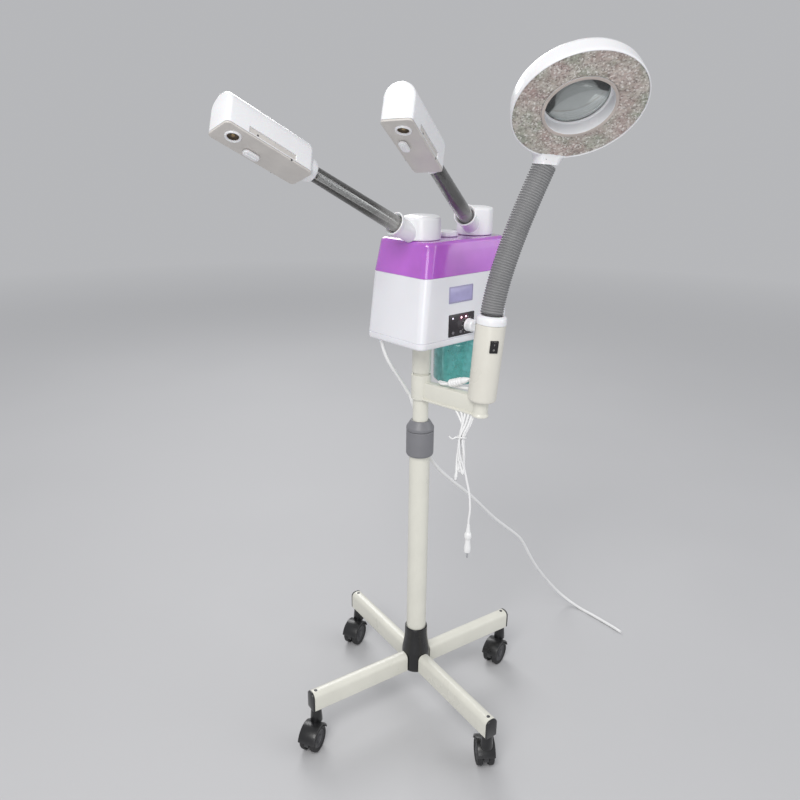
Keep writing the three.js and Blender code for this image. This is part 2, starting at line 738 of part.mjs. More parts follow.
/** How far each side of the casing has leaned in at a height. */
function casingLean(z) {
  const { lerp, clamp } = THREE.MathUtils;
  const lower = clamp((z - CASING_SKIRT) / (CASING_BORDER - CASING_SKIRT), 0, 1);
  const upper = clamp((z - CASING_BORDER) / (CASING_TOP - CASING_BORDER), 0, 1);
  return {
    left: lerp(0, 8, lower) + lerp(0, 6, upper),
    right: lerp(0, 6, lower) + lerp(0, 5, upper),
    front: lerp(0, 2, upper),
    back: lerp(0, 5, lower) + lerp(0, 8, upper),
    round: lerp(0, 3, lower) + lerp(0, 3, upper),
  };
}

/** The casing's outline at a height, drawn in by `inset` all round. */
function casingLevel(z, inset = 0) {
  const lean = casingLean(z);
  const outline = roundedRect(
    CASING.left + lean.left + inset, CASING.right - lean.right - inset,
    CASING.front + lean.front + inset, CASING.back - lean.back - inset,
    CASING_ROUND + lean.round - inset,
  );
  return { points: outline.getPoints(CORNER_STEPS).slice(0, -1), z };
}

function casingSlab(heights, inset = 0) {
  return loft(heights.map((z) => casingLevel(z, inset)));
}

/** A box through the front wall, seen as a rectangle from the front. */
function frontBox({ left, right, bottom, top }, grow, front, back) {
  return block([left - grow, front, bottom - grow], [right + grow, back, top + grow]);
}

function basePlate() {
  const plate = casingSlab([CASING_BOTTOM, CASING_SKIRT - GAP]);
  const hollow = casingSlab([CASING_BOTTOM + CASING_WALL, CASING_SKIRT + 5], CASING_WALL);
  const jarHole = cylinder(JAR_HEAD_RADIUS + 1, 700, 800, 24).translate(JAR_X, 0, 0);
  const lip = ring(JAR_HEAD_RADIUS + 1, JAR_HEAD_RADIUS + 4, CASING_BOTTOM, CASING_SKIRT - 2, 24)
    .translate(JAR_X, 0, 0);
  return join(cut(plate, hollow, jarHole), lip);
}

function casingShell() {
  const outside = casingSlab([CASING_SKIRT, CASING_BORDER]);
  const inside = casingSlab([CASING_SKIRT - 1, CASING_BORDER + 1], CASING_WALL);
  const front = CASING.front - 5;
  const back = CASING.front + 10;
  const displayHole = frontBox(DISPLAY, GAP, front, back);
  const panelHole = frontBox(PANEL, GAP, front, back);
  return cut(outside, inside, displayHole, panelHole);
}

/** Clear purple lid with holes for both turrets and the filler. */
function topCover() {
  const bottom = CASING_BORDER + GAP;
  const eased = [];
  for (const share of [0, 0.5, 1]) {
    const angle = (share * Math.PI) / 2;
    const z = CASING_TOP - TOP_EDGE_ROUND * (1 - Math.sin(angle));
    eased.push(casingLevel(z, TOP_EDGE_ROUND * (1 - Math.cos(angle))));
  }
  const outside = loft([casingLevel(bottom), ...eased]);
  const inside = casingSlab([bottom - 1, CASING_TOP - TOP_EDGE_ROUND - 1], CASING_WALL);
  const headroom = casingSlab([CASING_TOP - TOP_EDGE_ROUND - 3, CASING_TOP - CASING_WALL], 9);
  const holes = Object.values(ARMS).map(({ x }) => (
    cylinder(TURRET_STUB_RADIUS + 0.4, 900, 960).translate(x, TURRET_Y, 0)
  ));
  const filler = cylinder(FILLER_CAP.neck + 0.4, 900, 960).translate(FILLER_CAP.x, FILLER_CAP.y, 0);
  return cut(outside, inside, headroom, ...holes, filler);
}

function controlPanel() {
  const face = CASING.front - PLATE_PROUD;
  const plate = frontBox(PANEL, 0, face, face + PLATE_THICKNESS);
  const drill = (radius, x, z) => (
    cylinder(radius, -10, 10, 16).rotateX(Math.PI / 2).translate(x, CASING.front, z)
  );
  const buttonHoles = Object.values(BUTTON_PLACES).map((x) => (
    drill(BUTTON_RADIUS + 0.25, x, BUTTON_HEIGHT)
  ));
  return cut(plate, ...buttonHoles, drill(KNOB_SHAFT_RADIUS + GAP, KNOB_X, KNOB_Z));
}

function panelButton(x) {
  const face = CASING.front - PLATE_PROUD;
  const cap = cylinder(BUTTON_RADIUS, -1.4, PLATE_THICKNESS + 3, 14);
  const collar = cylinder(BUTTON_RADIUS + 1.2, PLATE_THICKNESS + 0.5, PLATE_THICKNESS + 2, 14);
  return join(cap, collar).rotateX(-Math.PI / 2).translate(x, face, BUTTON_HEIGHT);
}

/** Timer knob with a pointer ridge and its shaft. */
function timerKnob() {
  const face = CASING.front - PLATE_PROUD - 0.5;
  const skirt = revolve([
    [0, 0], [KNOB_RADIUS, 0], [KNOB_RADIUS, 3], [KNOB_RADIUS - 1, 4.5],
    [KNOB_RADIUS - 1.8, KNOB_LENGTH - 1.5], [KNOB_RADIUS - 3, KNOB_LENGTH], [0, KNOB_LENGTH],
  ], 20);
  const pointer = block([-1, 3, KNOB_LENGTH - 2], [1, KNOB_RADIUS - 2.2, KNOB_LENGTH + 1]);
  const shaft = cylinder(KNOB_SHAFT_RADIUS, -12, 1, 14);
  return join(skirt, pointer, shaft).rotateX(Math.PI / 2).translate(KNOB_X, face, KNOB_Z);
}

function controlBoard() {
  const back = CASING.front + 16;
  const board = block([4, back, 772], [62, back + 1.6, 852]);
  const transformer = block([10, back + 1, 800], [34, back + 20, 826]);
  const relay = block([42, back + 1, 806], [56, back + 16, 824]);
  const capacitor = cylinder(6, 0, 18, 16).rotateX(-Math.PI / 2).translate(48, back + 1, 790);
  return join(board, transformer, relay, capacitor);
}

/** Cup under the casing that sits over the top of the inner tube. */
function bodySocket() {
  const bore = INNER_TUBE_RADIUS + 0.4;
  const roof = INNER_TUBE_TOP + 0.6;
  const seat = CASING_BOTTOM - GAP;
  return revolve([
    [bore, SOCKET_BOTTOM], [SOCKET_RADIUS, SOCKET_BOTTOM],
    [SOCKET_RADIUS, seat - SOCKET_FLANGE_HEIGHT],
    [SOCKET_FLANGE_RADIUS, seat - SOCKET_FLANGE_HEIGHT + 2], [SOCKET_FLANGE_RADIUS, seat],
    [0, seat], [0, roof], [bore, roof], [bore, SOCKET_BOTTOM],
  ]);
}

function fillerCap() {
  const { radius, top, neck } = FILLER_CAP;
  const seat = CASING_TOP + GAP;
  return revolve([
    [0, CASING_TOP - 14], [neck, CASING_TOP - 14], [neck, seat], [radius, seat],
    [radius, top - 2.5], [radius - 2.5, top], [0, top],
  ], 20).translate(FILLER_CAP.x, FILLER_CAP.y, 0);
}

// ---------------------------------------------------------------- jar and boiler

function waterJar() {
  const inside = JAR_RADIUS - JAR_WALL;
  const throat = JAR_NECK_RADIUS - JAR_WALL;
  return revolve([
    [0, JAR_BOTTOM], [JAR_RADIUS - 6, JAR_BOTTOM], [JAR_RADIUS, JAR_BOTTOM + 6],
    [JAR_RADIUS, JAR_SHOULDER - 8], [JAR_NECK_RADIUS, JAR_SHOULDER], [JAR_NECK_RADIUS, JAR_NECK_TOP],
    [throat, JAR_NECK_TOP], [throat, JAR_SHOULDER], [inside, JAR_SHOULDER - 9],
    [inside, JAR_BOTTOM + 8], [inside - 5, JAR_BOTTOM + 4], [0, JAR_BOTTOM + 4],
  ], 24).translate(JAR_X, 0, 0);
}

/** Threaded head the jar screws up into, with a steam outlet in its roof. */
function jarHead() {
  const bore = JAR_NECK_RADIUS + 0.5;
  const outlet = 7;
  return revolve([
    [bore, JAR_HEAD_BOTTOM], [JAR_HEAD_RADIUS, JAR_HEAD_BOTTOM], [JAR_HEAD_RADIUS, JAR_HEAD_TOP],
    [outlet, JAR_HEAD_TOP], [outlet, JAR_HEAD_TOP - 4], [bore, JAR_HEAD_TOP - 4],
  ], 24).translate(JAR_X, 0, 0);
}

/** Heating loop: a flange with a U of tube that hangs in the water. */
function heaterElement() {
  const spread = 12;
  const low = JAR_BOTTOM + 25;
  const high = JAR_HEAD_TOP - 5;
  const loop = new THREE.CatmullRomCurve3([
    new THREE.Vector3(-spread, 0, high), new THREE.Vector3(-spread, 0, (low + high) / 2),
    new THREE.Vector3(-spread, 0, low + spread), new THREE.Vector3(0, 0, low),
    new THREE.Vector3(spread, 0, low + spread), new THREE.Vector3(spread, 0, (low + high) / 2),
    new THREE.Vector3(spread, 0, high),
  ], false, 'centripetal');
  const flange = ring(8, 22, high - 2.5, high, 16);
  return join(flange, bar(loop, 3.5, 14, 6)).translate(JAR_X, 0, 0);
}

/** Two steam pipes from the boiler head up to the turrets. */
function steamPipes() {
  const pipe = (x, radius, overrun) => {
    const root = new THREE.Vector3(JAR_X, 0, JAR_HEAD_TOP + GAP - overrun);
    const tip = new THREE.Vector3(x, TURRET_Y, TURRET_STUB_BOTTOM - 0.5 + overrun);
    return bar(new THREE.CubicBezierCurve3(
      root, root.clone().add(new THREE.Vector3(0, 0, 60)),
      tip.clone().sub(new THREE.Vector3(0, 0, 60)), tip,
    ), radius, 8, 8);
  };
  const outside = Object.values(ARMS).map(({ x }) => pipe(x, 6, 0));
  const bores = Object.values(ARMS).map(({ x }) => pipe(x, 4.4, 2));
  return cut(join(...outside), ...bores);
}

function steamerBody() {
  return group(
    part('body_socket', bodySocket(), CREAM_STEEL),
    part('base_plate', basePlate(), WHITE_PLASTIC),
    part('casing_shell', casingShell(), WHITE_PLASTIC),
    part('top_cover', topCover(), PURPLE_CLEAR),
    part('display_window', frontBox(
      DISPLAY, 0, CASING.front - PLATE_PROUD, CASING.front - PLATE_PROUD + PLATE_THICKNESS,
    ), DISPLAY_BLUE),
    part('control_panel', controlPanel(), PANEL_BLACK),
    ...Object.entries(BUTTON_PLACES).map(([name, x]) => part(name, panelButton(x), BUTTON_GREY)),
    part('timer_knob', timerKnob(), WHITE_PLASTIC),
    part('control_board', controlBoard(), BOARD_GREEN),
    part('filler_cap', fillerCap(), WHITE_PLASTIC),
    part('water_jar', waterJar(), JAR_TEAL),
    part('jar_head', jarHead(), WHITE_PLASTIC),
    part('heater_element', heaterElement(), STEEL),
    part('steam_pipes', steamPipes(), SILICONE),
  );
}

// ---------------------------------------------------------------- steam arms

/** Places a geometry made in the arm's frame (x along the arm, from the port) on a turret. */
function alongPort(geometry, turretTop) {
  return geometry.rotateY(radians(-ARM_ELEVATION))
    .translate(PORT_REACH, 0, turretTop - PORT_BELOW_TOP);
}

/** A revolved piece turned from Z to lie along X. */
function alongX(geometry) {
  return geometry.rotateY(Math.PI / 2);
}

/** Swivelling turret with a trumpet-shaped port that holds the arm's tube. */
function turret(top) {
  const seat = CASING_TOP + GAP;
  const drum = revolve([
    [0, TURRET_STUB_BOTTOM], [TURRET_STUB_RADIUS, TURRET_STUB_BOTTOM], [TURRET_STUB_RADIUS, seat],
    [TURRET_RADIUS, seat], [TURRET_RADIUS, top - 6], [TURRET_RADIUS - 2, top - 3],
    [TURRET_RADIUS * 0.6, top - 0.8], [0, top],
  ], 20);
  const port = revolve([
    [0, -PORT_LENGTH], [PORT_ROOT_RADIUS, -PORT_LENGTH], [PORT_ROOT_RADIUS + 1, -10],
    [PORT_RADIUS, -2], [PORT_RADIUS, 0], [0, 0],
  ], 16);
  const bore = cylinder(ARM_TUBE_RADIUS + 2 * GAP, -18, 10, 16);
  const steamWay = cylinder(7, -PORT_LENGTH + 4, 10, 10);
  const stubWay = cylinder(8, TURRET_STUB_BOTTOM - 5, 945, 10);
  const ported = join(drum, alongPort(alongX(port), top));
  const belowLid = block([-100, -100, 800], [100, 100, seat]);
  const stub = cylinder(TURRET_STUB_RADIUS, 800, 940);
  const trimmed = cut(ported, cut(belowLid, stub));
  return cut(trimmed, alongPort(alongX(bore), top), alongPort(alongX(steamWay), top), stubWay);
}

/** Clear tube that tapers from the port to the spray head. */
function armTube(length) {
  const root = ARM_TUBE_RADIUS;
  const end = ARM_TUBE_END_RADIUS;
  const neckStart = length - HEAD_NECK_LENGTH;
  return alongX(revolve([
    [root - ARM_TUBE_WALL, -17], [root, -17], [root, 4], [end, neckStart], [end, length + 4],
    [end - ARM_TUBE_WALL, length + 4], [end - ARM_TUBE_WALL, neckStart], [root - ARM_TUBE_WALL, 4],
  ], 16));
}

/** The head seen from above. */
function headPlan(inset) {
  const half = HEAD_WIDTH / 2 - inset;
  return roundedRect(inset, HEAD_LENGTH - inset, -half, half, HEAD_CORNER_ROUND - inset);
}

/** The head from the end, above a floor height: straight sides under a half-round back. */
function headSection(inset, floor) {
  const half = HEAD_WIDTH / 2 - inset;
  const shape = new THREE.Shape();
  shape.moveTo(-half, floor);
  shape.lineTo(half, floor);
  shape.absarc(0, HEAD_TOP - inset - half, half, 0, Math.PI);
  shape.closePath();
  return shape;
}

/** The head from the side, above a floor height: its two top corners are rounded. */
function headSide(inset, floor) {
  return roundedRect(
    inset, HEAD_LENGTH - inset, floor, HEAD_TOP - inset, 0.01, HEAD_CORNER_ROUND - inset,
  );
}

function headBlank(inset, floor) {
  const arch = acrossX(prism(headSection(inset, floor), 0, HEAD_LENGTH, 12));
  const side = acrossY(prism(headSide(inset, floor), -HEAD_WIDTH, HEAD_WIDTH, 3));
  return common(common(arch, side), prism(headPlan(inset), floor, HEAD_TOP + 5, 3));
}

function sprayHead() {
  const floor = HEAD_UNDERSIDE + HEAD_COVER + GAP;
  const shell = cut(headBlank(0, floor), headBlank(HEAD_WALL, floor - 1));
  const neck = alongX(revolve([
    [0, -HEAD_NECK_LENGTH], [HEAD_NECK_END_RADIUS, -HEAD_NECK_LENGTH],
    [HEAD_NECK_RADIUS, -2], [HEAD_NECK_RADIUS, 1], [0, 1],
  ], 16));
  const tubeBore = alongX(cylinder(ARM_TUBE_END_RADIUS + 2 * GAP, -30, 20, 16));
  return cut(join(shell, neck), tubeBore);
}

/** Cover plate under the head, with the steam nozzle and a seat for the oil cap. */
function headCover() {
  const top = HEAD_UNDERSIDE + HEAD_COVER;
  const plate = prism(headPlan(0), HEAD_UNDERSIDE, top);
  const nozzleBottom = HEAD_UNDERSIDE - NOZZLE.drop;
  const nozzle = cone(NOZZLE.radius - 1.5, NOZZLE.radius, nozzleBottom, top - 1, 16)
    .translate(NOZZLE.x, NOZZLE.y, 0);
  const bore = cylinder(NOZZLE.bore, -40, 30, 14).translate(NOZZLE.x, NOZZLE.y, 0);
  const capSeat = prism(oilCapPlan(OIL_CAP_PLUG.inset - GAP), -40, 30)
    .translate(OIL_CAP.x, OIL_CAP.y, 0);
  return cut(join(plate, nozzle), bore, capSeat);
}

function oilCapPlan(inset) {
  const halfLength = OIL_CAP.length / 2 - inset;
  const halfWidth = OIL_CAP.width / 2 - inset;
  return roundedRect(-halfLength, halfLength, -halfWidth, halfWidth, halfWidth - 0.01);
}

/** Oval cap of the aroma oil pad, plugged into the underside. */
function oilCap() {
  const seat = HEAD_UNDERSIDE - GAP;
  const grip = prism(oilCapPlan(0), seat - OIL_CAP.drop, seat);
  const plug = prism(oilCapPlan(OIL_CAP_PLUG.inset), seat - 1, seat + OIL_CAP_PLUG.rise);
  return join(grip, plug).translate(OIL_CAP.x, OIL_CAP.y, 0);
}

function steamArm(side, { x, azimuth, length, twist, turretTop }) {
  const head = group(
    part(`spray_head_${side}`, sprayHead(), WHITE_PLASTIC),
    part(`head_cover_${side}`, headCover(), WHITE_PLASTIC),
    part(`oil_cap_${side}`, oilCap(), WHITE_PLASTIC),
  );
  head.position.x = length;
  head.rotation.x = radians(twist);
  const arm = group(part(`arm_tube_${side}`, armTube(length), CLEAR_GLASS), head);
  arm.position.set(PORT_REACH, 0, turretTop - PORT_BELOW_TOP);
  arm.rotation.y = radians(-ARM_ELEVATION);
  const whole = group(part(`turret_${side}`, turret(turretTop), WHITE_PLASTIC), arm);
  whole.position.set(x, TURRET_Y, 0);
  whole.rotation.z = radians(azimuth);
  return whole;
}

// ---------------------------------------------------------------- cords

/** Mains cord from under the casing, down past the collar and away over the floor. */
function mainsCord() {
  const floorHeight = CORD_RADIUS + 0.7;
  const track = new THREE.CatmullRomCurve3([
    new THREE.Vector3(-31, 39, 700),
    new THREE.Vector3(2, 36, 650),
    new THREE.Vector3(20, 30, 600),
    new THREE.Vector3(31, 19, 555),
    new THREE.Vector3(36, 10, 523),
    new THREE.Vector3(61, 8, 490),
    new THREE.Vector3(93, 8, 459),
    new THREE.Vector3(157, 8, 401),
    new THREE.Vector3(234, 8, 324),
    new THREE.Vector3(310, 8, 257),
    new THREE.Vector3(336, 8, 228),
    new THREE.Vector3(361, 8, 190),
    new THREE.Vector3(385, 8, 154),
    new THREE.Vector3(429, 8, 99),
    new THREE.Vector3(476, 4, 45),
    new THREE.Vector3(500, -14, 16),
    new THREE.Vector3(507, -50, floorHeight),
    new THREE.Vector3(506, -90, floorHeight),
    new THREE.Vector3(503, -145, floorHeight),
    new THREE.Vector3(500, -169, floorHeight),
  ], false, 'centripetal');
  return bar(track, CORD_RADIUS, 46, 6);
}

/** Lamp cord, tied in a hank under the bracket, with its small plug hanging free. */
function lampCord() {
  const hank = new THREE.CatmullRomCurve3([
    new THREE.Vector3(4, -119, ARM_BOTTOM - 3),
    new THREE.Vector3(-4, -112, 610),
    new THREE.Vector3(-9, -108, 560),
    new THREE.Vector3(-8, -108, 538),
  ]);
  const tail = new THREE.CatmullRomCurve3([
    new THREE.Vector3(-8, -108, 545),
    new THREE.Vector3(3, -120, 512),
    new THREE.Vector3(5, -122, 470),
    new THREE.Vector3(5, -122, 425),
  ]);
  const plug = cone(CORD_PLUG_RADIUS - 2, CORD_PLUG_RADIUS, 390, 430, 14).translate(5, -122, 0);
  return join(bar(hank, CORD_BUNDLE_RADIUS, 6, 8), bar(tail, CORD_RADIUS, 8, 6), plug);
}

function cords() {
  return group(
    part('mains_cord', mainsCord(), CORD_WHITE),
    part('lamp_cord', lampCord(), CORD_WHITE),
  );
}

// ---------------------------------------------------------------- the whole steamer

const steamer = group(
  base(),
  pole(),
  lampStand(),
  ...hose(),
  lampHead(),
  steamerBody(),
  ...Object.entries(ARMS).map(([side, arm]) => steamArm(side, arm)),
  cords(),
);

steamer.position.z = -HUB_BOTTOM;

export default steamer;
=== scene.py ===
"""Visual model of a facial steamer with two steam arms and a magnifier lamp, on a wheeled stand.

Shapes are written in millimetres with heights from the floor, like the part they dress, and
piece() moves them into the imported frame: metres, with the origin under the base hub.
"""

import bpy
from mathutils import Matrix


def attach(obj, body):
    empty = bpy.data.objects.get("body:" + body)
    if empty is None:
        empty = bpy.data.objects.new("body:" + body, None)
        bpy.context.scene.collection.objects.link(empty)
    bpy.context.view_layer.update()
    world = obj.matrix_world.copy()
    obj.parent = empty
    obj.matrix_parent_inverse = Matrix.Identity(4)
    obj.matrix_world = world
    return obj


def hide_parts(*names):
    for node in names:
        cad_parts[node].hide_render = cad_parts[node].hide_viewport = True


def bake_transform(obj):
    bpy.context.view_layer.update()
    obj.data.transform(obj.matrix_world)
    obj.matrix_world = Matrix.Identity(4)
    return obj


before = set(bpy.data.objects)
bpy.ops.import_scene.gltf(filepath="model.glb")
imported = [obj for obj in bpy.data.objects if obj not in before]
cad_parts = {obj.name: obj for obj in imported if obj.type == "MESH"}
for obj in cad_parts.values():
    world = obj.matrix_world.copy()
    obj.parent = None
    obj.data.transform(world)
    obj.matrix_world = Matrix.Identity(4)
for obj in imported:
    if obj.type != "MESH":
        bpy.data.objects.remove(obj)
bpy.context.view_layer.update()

import math
import random
from collections import namedtuple

import bmesh
import bpy
from mathutils import Matrix, Vector

# ------------------------------------------------------------------ driving dimensions
# Millimetres and degrees. X runs to the right along the casing's front, and -Y points from the
# casing to the person who works with it. Azimuths are turned from X towards Y.

HUB_BOTTOM = 78.0  # height of the frame's origin above the floor
HUB_TOP = 174.0
TO_FRAME = Matrix.Scale(0.001, 4) @ Matrix.Translation((0, 0, -HUB_BOTTOM))

FIRST_LEG_AZIMUTH = -8.3
LEG_START, LEG_END = 27.3, 233.0
LEG_HALF_WIDTH, LEG_LOW, LEG_TOP = 12.0, 80.0, 118.0
CASTER_REACH, CASTER_TRAIL, WHEEL_RADIUS = 225.6, 17.0, 25.0
CASTER_YAWS = (200, 120, 35, 150)

POLE_RADIUS, POLE_WALL, POLE_LOW, POLE_TOP = 19.0, 1.5, 104.0, 585.0
MAST_RADIUS, MAST_WALL, MAST_LOW, MAST_TOP = 14.1, 1.4, 330.0, 748.0
COLLAR_LOW, COLLAR_TOP, SOCKET_LOW = 542.0, 590.0, 699.0
LAMP_ARM_LOW, LAMP_ARM_TOP, LAMP_SLEEVE_TOP = 650.0, 682.0, 695.0

POST_FOOT = Vector((14.5, -129.8, 676))
POST_LEAN, POST_LEAN_AZIMUTH = 4.0, -42.0
POST_RADIUS, POST_TOP_RADIUS, POST_HEIGHT, POST_CAP_TOP = 23.8, 24.6, 130.0, 145.0
SWITCH_AZIMUTH, SWITCH_HEIGHT, SWITCH_TILT = -118.0, 98.0, 6.0

HOSE_START, HOSE_END = Vector((21, -136.4, 822)), Vector((98, -157.5, 1040))
HOSE_START_HANDLE, HOSE_END_HANDLE = Vector((12, 0.5, 68)), Vector((25, -13, 64))
HOSE_RADIUS, HOSE_PITCH = 18.5, 4.0
HOSE_OVERLAP = 8.0  # how far the sleeve reaches over the lamp's neck
HOSE_SPLITS = (0.1925, 0.525)  # shares of the length, midway between the bending points

LAMP_CENTRE = Vector((70.6, -236, 1124.2))
LAMP_BACK = Vector((0.384, 0.579, 0.72)).normalized()
LAMP_TO_NECK = Vector((0.308, 0.654, -0.691))
LAMP_RADIUS, LAMP_BORE, LAMP_BORDER, LAMP_DEPTH = 97.5, 49.5, 57.0, 34.0
NECK_CENTRE = Vector((103.5, -161.5, 1060))
LENS_FRONT, LENS_BACK, LENS_CROWN = 19.6, 31.4, 4.4  # both poles, and how far each face curves

CASING_LEFT, CASING_RIGHT, CASING_FRONT, CASING_BACK = -60.0, 156.0, -60.5, 79.0
CASING_BOTTOM, CASING_SKIRT, CASING_BORDER, CASING_TOP = 756.0, 768.0, 872.5, 929.0
CASING_ROUND = 13.0
PLATE_FRONT = CASING_FRONT - 0.6  # the plates on the casing's front stand this little proud

JAR_X, JAR_RADIUS, JAR_BOTTOM, JAR_SHOULDER, WATER_LEVEL = 92.0, 45.0, 667.0, 752.0, 729.0
CAP_X, CAP_Y, KNOB_X, KNOB_HEIGHT = 49.0, -4.0, 48.0, 787.0

ARMS = {
    "left": {"x": -15, "azimuth": 180, "length": 188, "twist": 25.5, "turret_top": 969},
    "right": {"x": 111, "azimuth": -153.8, "length": 197, "twist": 3.7, "turret_top": 977},
}
TURRET_Y, TURRET_RADIUS = -10.0, 31.0
PORT_REACH, PORT_BELOW_TOP, ARM_ELEVATION = 60.7, 11.0, 27.0
ARM_RADIUS, ARM_END_RADIUS, ARM_WALL = 13.0, 11.0, 1.6
HEAD_LENGTH, HEAD_WIDTH, HEAD_UNDERSIDE, HEAD_TOP = 141.0, 42.6, -20.0, 34.6
HEAD_CORNER, HEAD_COVER, HEAD_NECK_LENGTH = 6.0, 3.0, 16.0
HEAD_ARCH_SPRING = HEAD_TOP - HEAD_WIDTH / 2  # height where the sides turn into the round back
NOZZLE_X, NOZZLE_Y = 118.5, 3.0
OIL_CAP_X, OIL_CAP_Y, OIL_CAP_LENGTH, OIL_CAP_WIDTH = 81.5, -8.0, 25.0, 12.0

CORD_RADIUS, HANK_RADIUS = 3.3, 2.15
HANK_TOP, HANK_TIE = LAMP_ARM_LOW + 1, Vector((-8, -110, 611))
PLUG_X, PLUG_Y = 5.0, -122.0

CAMERA_PLACE, CAMERA_LENS = Vector((-855.9, -889.5, 1076.05)), 33.09
CAMERA_AZIMUTH, CAMERA_ELEVATION, CAMERA_ROLL = -132.187, 19.251, 0.619
BACKDROP = (0.47, 0.475, 0.49, 1.0)
STAGE_HALF = 40.0  # metres

# ------------------------------------------------------------------ shapes, in millimetres

Shape = namedtuple("Shape", "verts faces")


def vectors(*points):
    """Plain points as vectors, to add and to scale."""
    return [Vector(point) for point in points]


def moved(shape, matrix):
    return Shape([matrix @ vert for vert in shape.verts], shape.faces)


def joined(*shapes):
    verts, faces = [], []
    for shape in shapes:
        first = len(verts)
        verts += shape.verts
        faces += [[first + i for i in face] for face in shape.faces]
    return Shape(verts, faces)


def shift(x, y, z):
    return Matrix.Translation((x, y, z))


def turn(degrees, axis):
    return Matrix.Rotation(math.radians(degrees), 4, axis)


def polar(radius, angle, height=0.0):
    return Vector((radius * math.cos(angle), radius * math.sin(angle), height))


def aimed(direction):
    """Turns the Z axis to a direction."""
    return Vector((0, 0, 1)).rotation_difference(direction).to_matrix().to_4x4()


def eased(points, ease, steps=4, closed=False):
    """Rounds the corners of a flat outline or profile, by at most half of each side."""
    smooth = []
    count = len(points)
    for i, point in enumerate(points):
        if not closed and i in (0, count - 1):
            smooth.append(tuple(point))
            continue
        here = Vector(point)
        before = Vector(points[i - 1]) - here
        after = Vector(points[(i + 1) % count]) - here
        start = here + before.normalized() * min(ease, before.length * 0.49)
        end = here + after.normalized() * min(ease, after.length * 0.49)
        for step in range(steps + 1):
            share = step / steps
            smooth.append(tuple(start.lerp(here, share).lerp(here.lerp(end, share), share)))
    return smooth


def lathe(profile, segments):
    """Revolves (radius, height) points about Z. A profile that starts off the axis is a ring."""
    verts, rows, faces = [], [], []
    for radius, height in profile:
        if radius < 1e-6:
            rows.append([len(verts)])
            verts.append(Vector((0, 0, height)))
            continue
        rows.append(list(range(len(verts), len(verts) + segments)))
        verts += [polar(radius, 2 * math.pi * i / segments, height) for i in range(segments)]
    pairs = list(zip(rows, rows[1:]))
    if profile[0][0] > 0 and profile[-1][0] > 0:
        pairs.append((rows[-1], rows[0]))
    for low, high in pairs:
        for i in range(segments):
            j = (i + 1) % segments
            corners = [low[i % len(low)], low[j % len(low)], high[j % len(high)], high[i % len(high)]]
            face = list(dict.fromkeys(corners))
            if len(face) > 2:
                faces.append(face)
    return Shape(verts, faces)


def pipe(radius, wall, low, high, segments):
    outline = [(radius - wall, low), (radius, low), (radius, high), (radius - wall, high)]
    return turned(outline, 0.4, segments)


def turned(points, ease, segments):
    """Revolves a profile with its corners rounded. One that starts on the axis keeps its ends."""
    return lathe(eased(points, ease, closed=points[0][0] > 0), segments)


def loft(rings, capped=True):
    """Skins a stack of closed rings that have the same number of points."""
    count = len(rings[0])
    verts = [vert for ring in rings for vert in ring]
    faces = []
    for row in range(len(rings) - 1):
        for i in range(count):
            j = (i + 1) % count
            first, second = row * count, (row + 1) * count
            faces.append([first + i, first + j, second + j, second + i])
    if capped:
        faces.append(list(range(count))[::-1])
        faces.append([(len(rings) - 1) * count + i for i in range(count)])
    return Shape(verts, faces)


def across_y(outline, *stations):
    """Solid with an outline of (x, z) points at stations along Y."""
    return loft([[Vector((x, y, z)) for x, z in outline] for y in stations])


def rounded_rect(left, right, low, high, low_round, high_round=None, steps=6):
    """Outline points, anticlockwise, with separate radii for the low and high corners."""
    top = low_round if high_round is None else high_round
    corners = (
        (right - low_round, low + low_round, low_round, -90),
        (right - top, high - top, top, 0),
        (left + top, high - top, top, 90),
        (left + low_round, low + low_round, low_round, 180),
    )
    points = []
    for x, y, radius, start in corners:
        for step in range(steps + 1):
            angle = math.radians(start + 90 * step / steps)
            points.append((x + radius * math.cos(angle), y + radius * math.sin(angle)))
    return points


def slab(outline_at, low, high, ease, steps=3):
    """A plate with eased edges. outline_at(inset) gives its outline drawn in by that much."""
    levels = []
    for step in range(steps + 1):
        angle = math.pi / 2 * step / steps
        levels.append((ease * (1 - math.sin(angle)), low + ease * (1 - math.cos(angle))))
    levels += [(inset, high - (height - low)) for inset, height in reversed(levels)]
    return loft([[Vector((x, y, z)) for x, y in outline_at(inset)] for inset, z in levels])


def block(low, high, ease=0.6, corner=None):
    """A box with eased edges, from its lowest to its highest corner."""
    corner = ease if corner is None else corner
    return slab(
        lambda inset: rounded_rect(
            low[0] + inset, high[0] - inset, low[1] + inset, high[1] - inset,
            max(corner - inset, 0.05),
        ),
        low[2], high[2], ease,
    )


def smooth_path(points):
    """Points every 3 mm or so along a smooth curve through the given points."""
    dense = []
    padded = [points[0] * 2 - points[1]] + list(points) + [points[-1] * 2 - points[-2]]
    for a, b, c, d in zip(padded, padded[1:], padded[2:], padded[3:]):
        for step in range(24):
            t = step / 24
            dense.append(0.5 * (
                2 * b + (c - a) * t + (2 * a - 5 * b + 4 * c - d) * t ** 2
                + (3 * b - a - 3 * c + d) * t ** 3
            ))
    dense.append(points[-1])
    return evenly(dense, 3.0)


def evenly(dense, spacing):
    """Points at even distances along a chain of closely spaced ones."""
    lengths = [0.0]
    for a, b in zip(dense, dense[1:]):
        lengths.append(lengths[-1] + (b - a).length)
    count = max(2, round(lengths[-1] / spacing))
    out, at = [], 0
    for i in range(count + 1):
        target = lengths[-1] * i / count
        while at + 2 < len(dense) and lengths[at + 1] < target:
            at += 1
        run = lengths[at + 1] - lengths[at]
        out.append(dense[at].lerp(dense[at + 1], (target - lengths[at]) / run if run else 0))
    return out


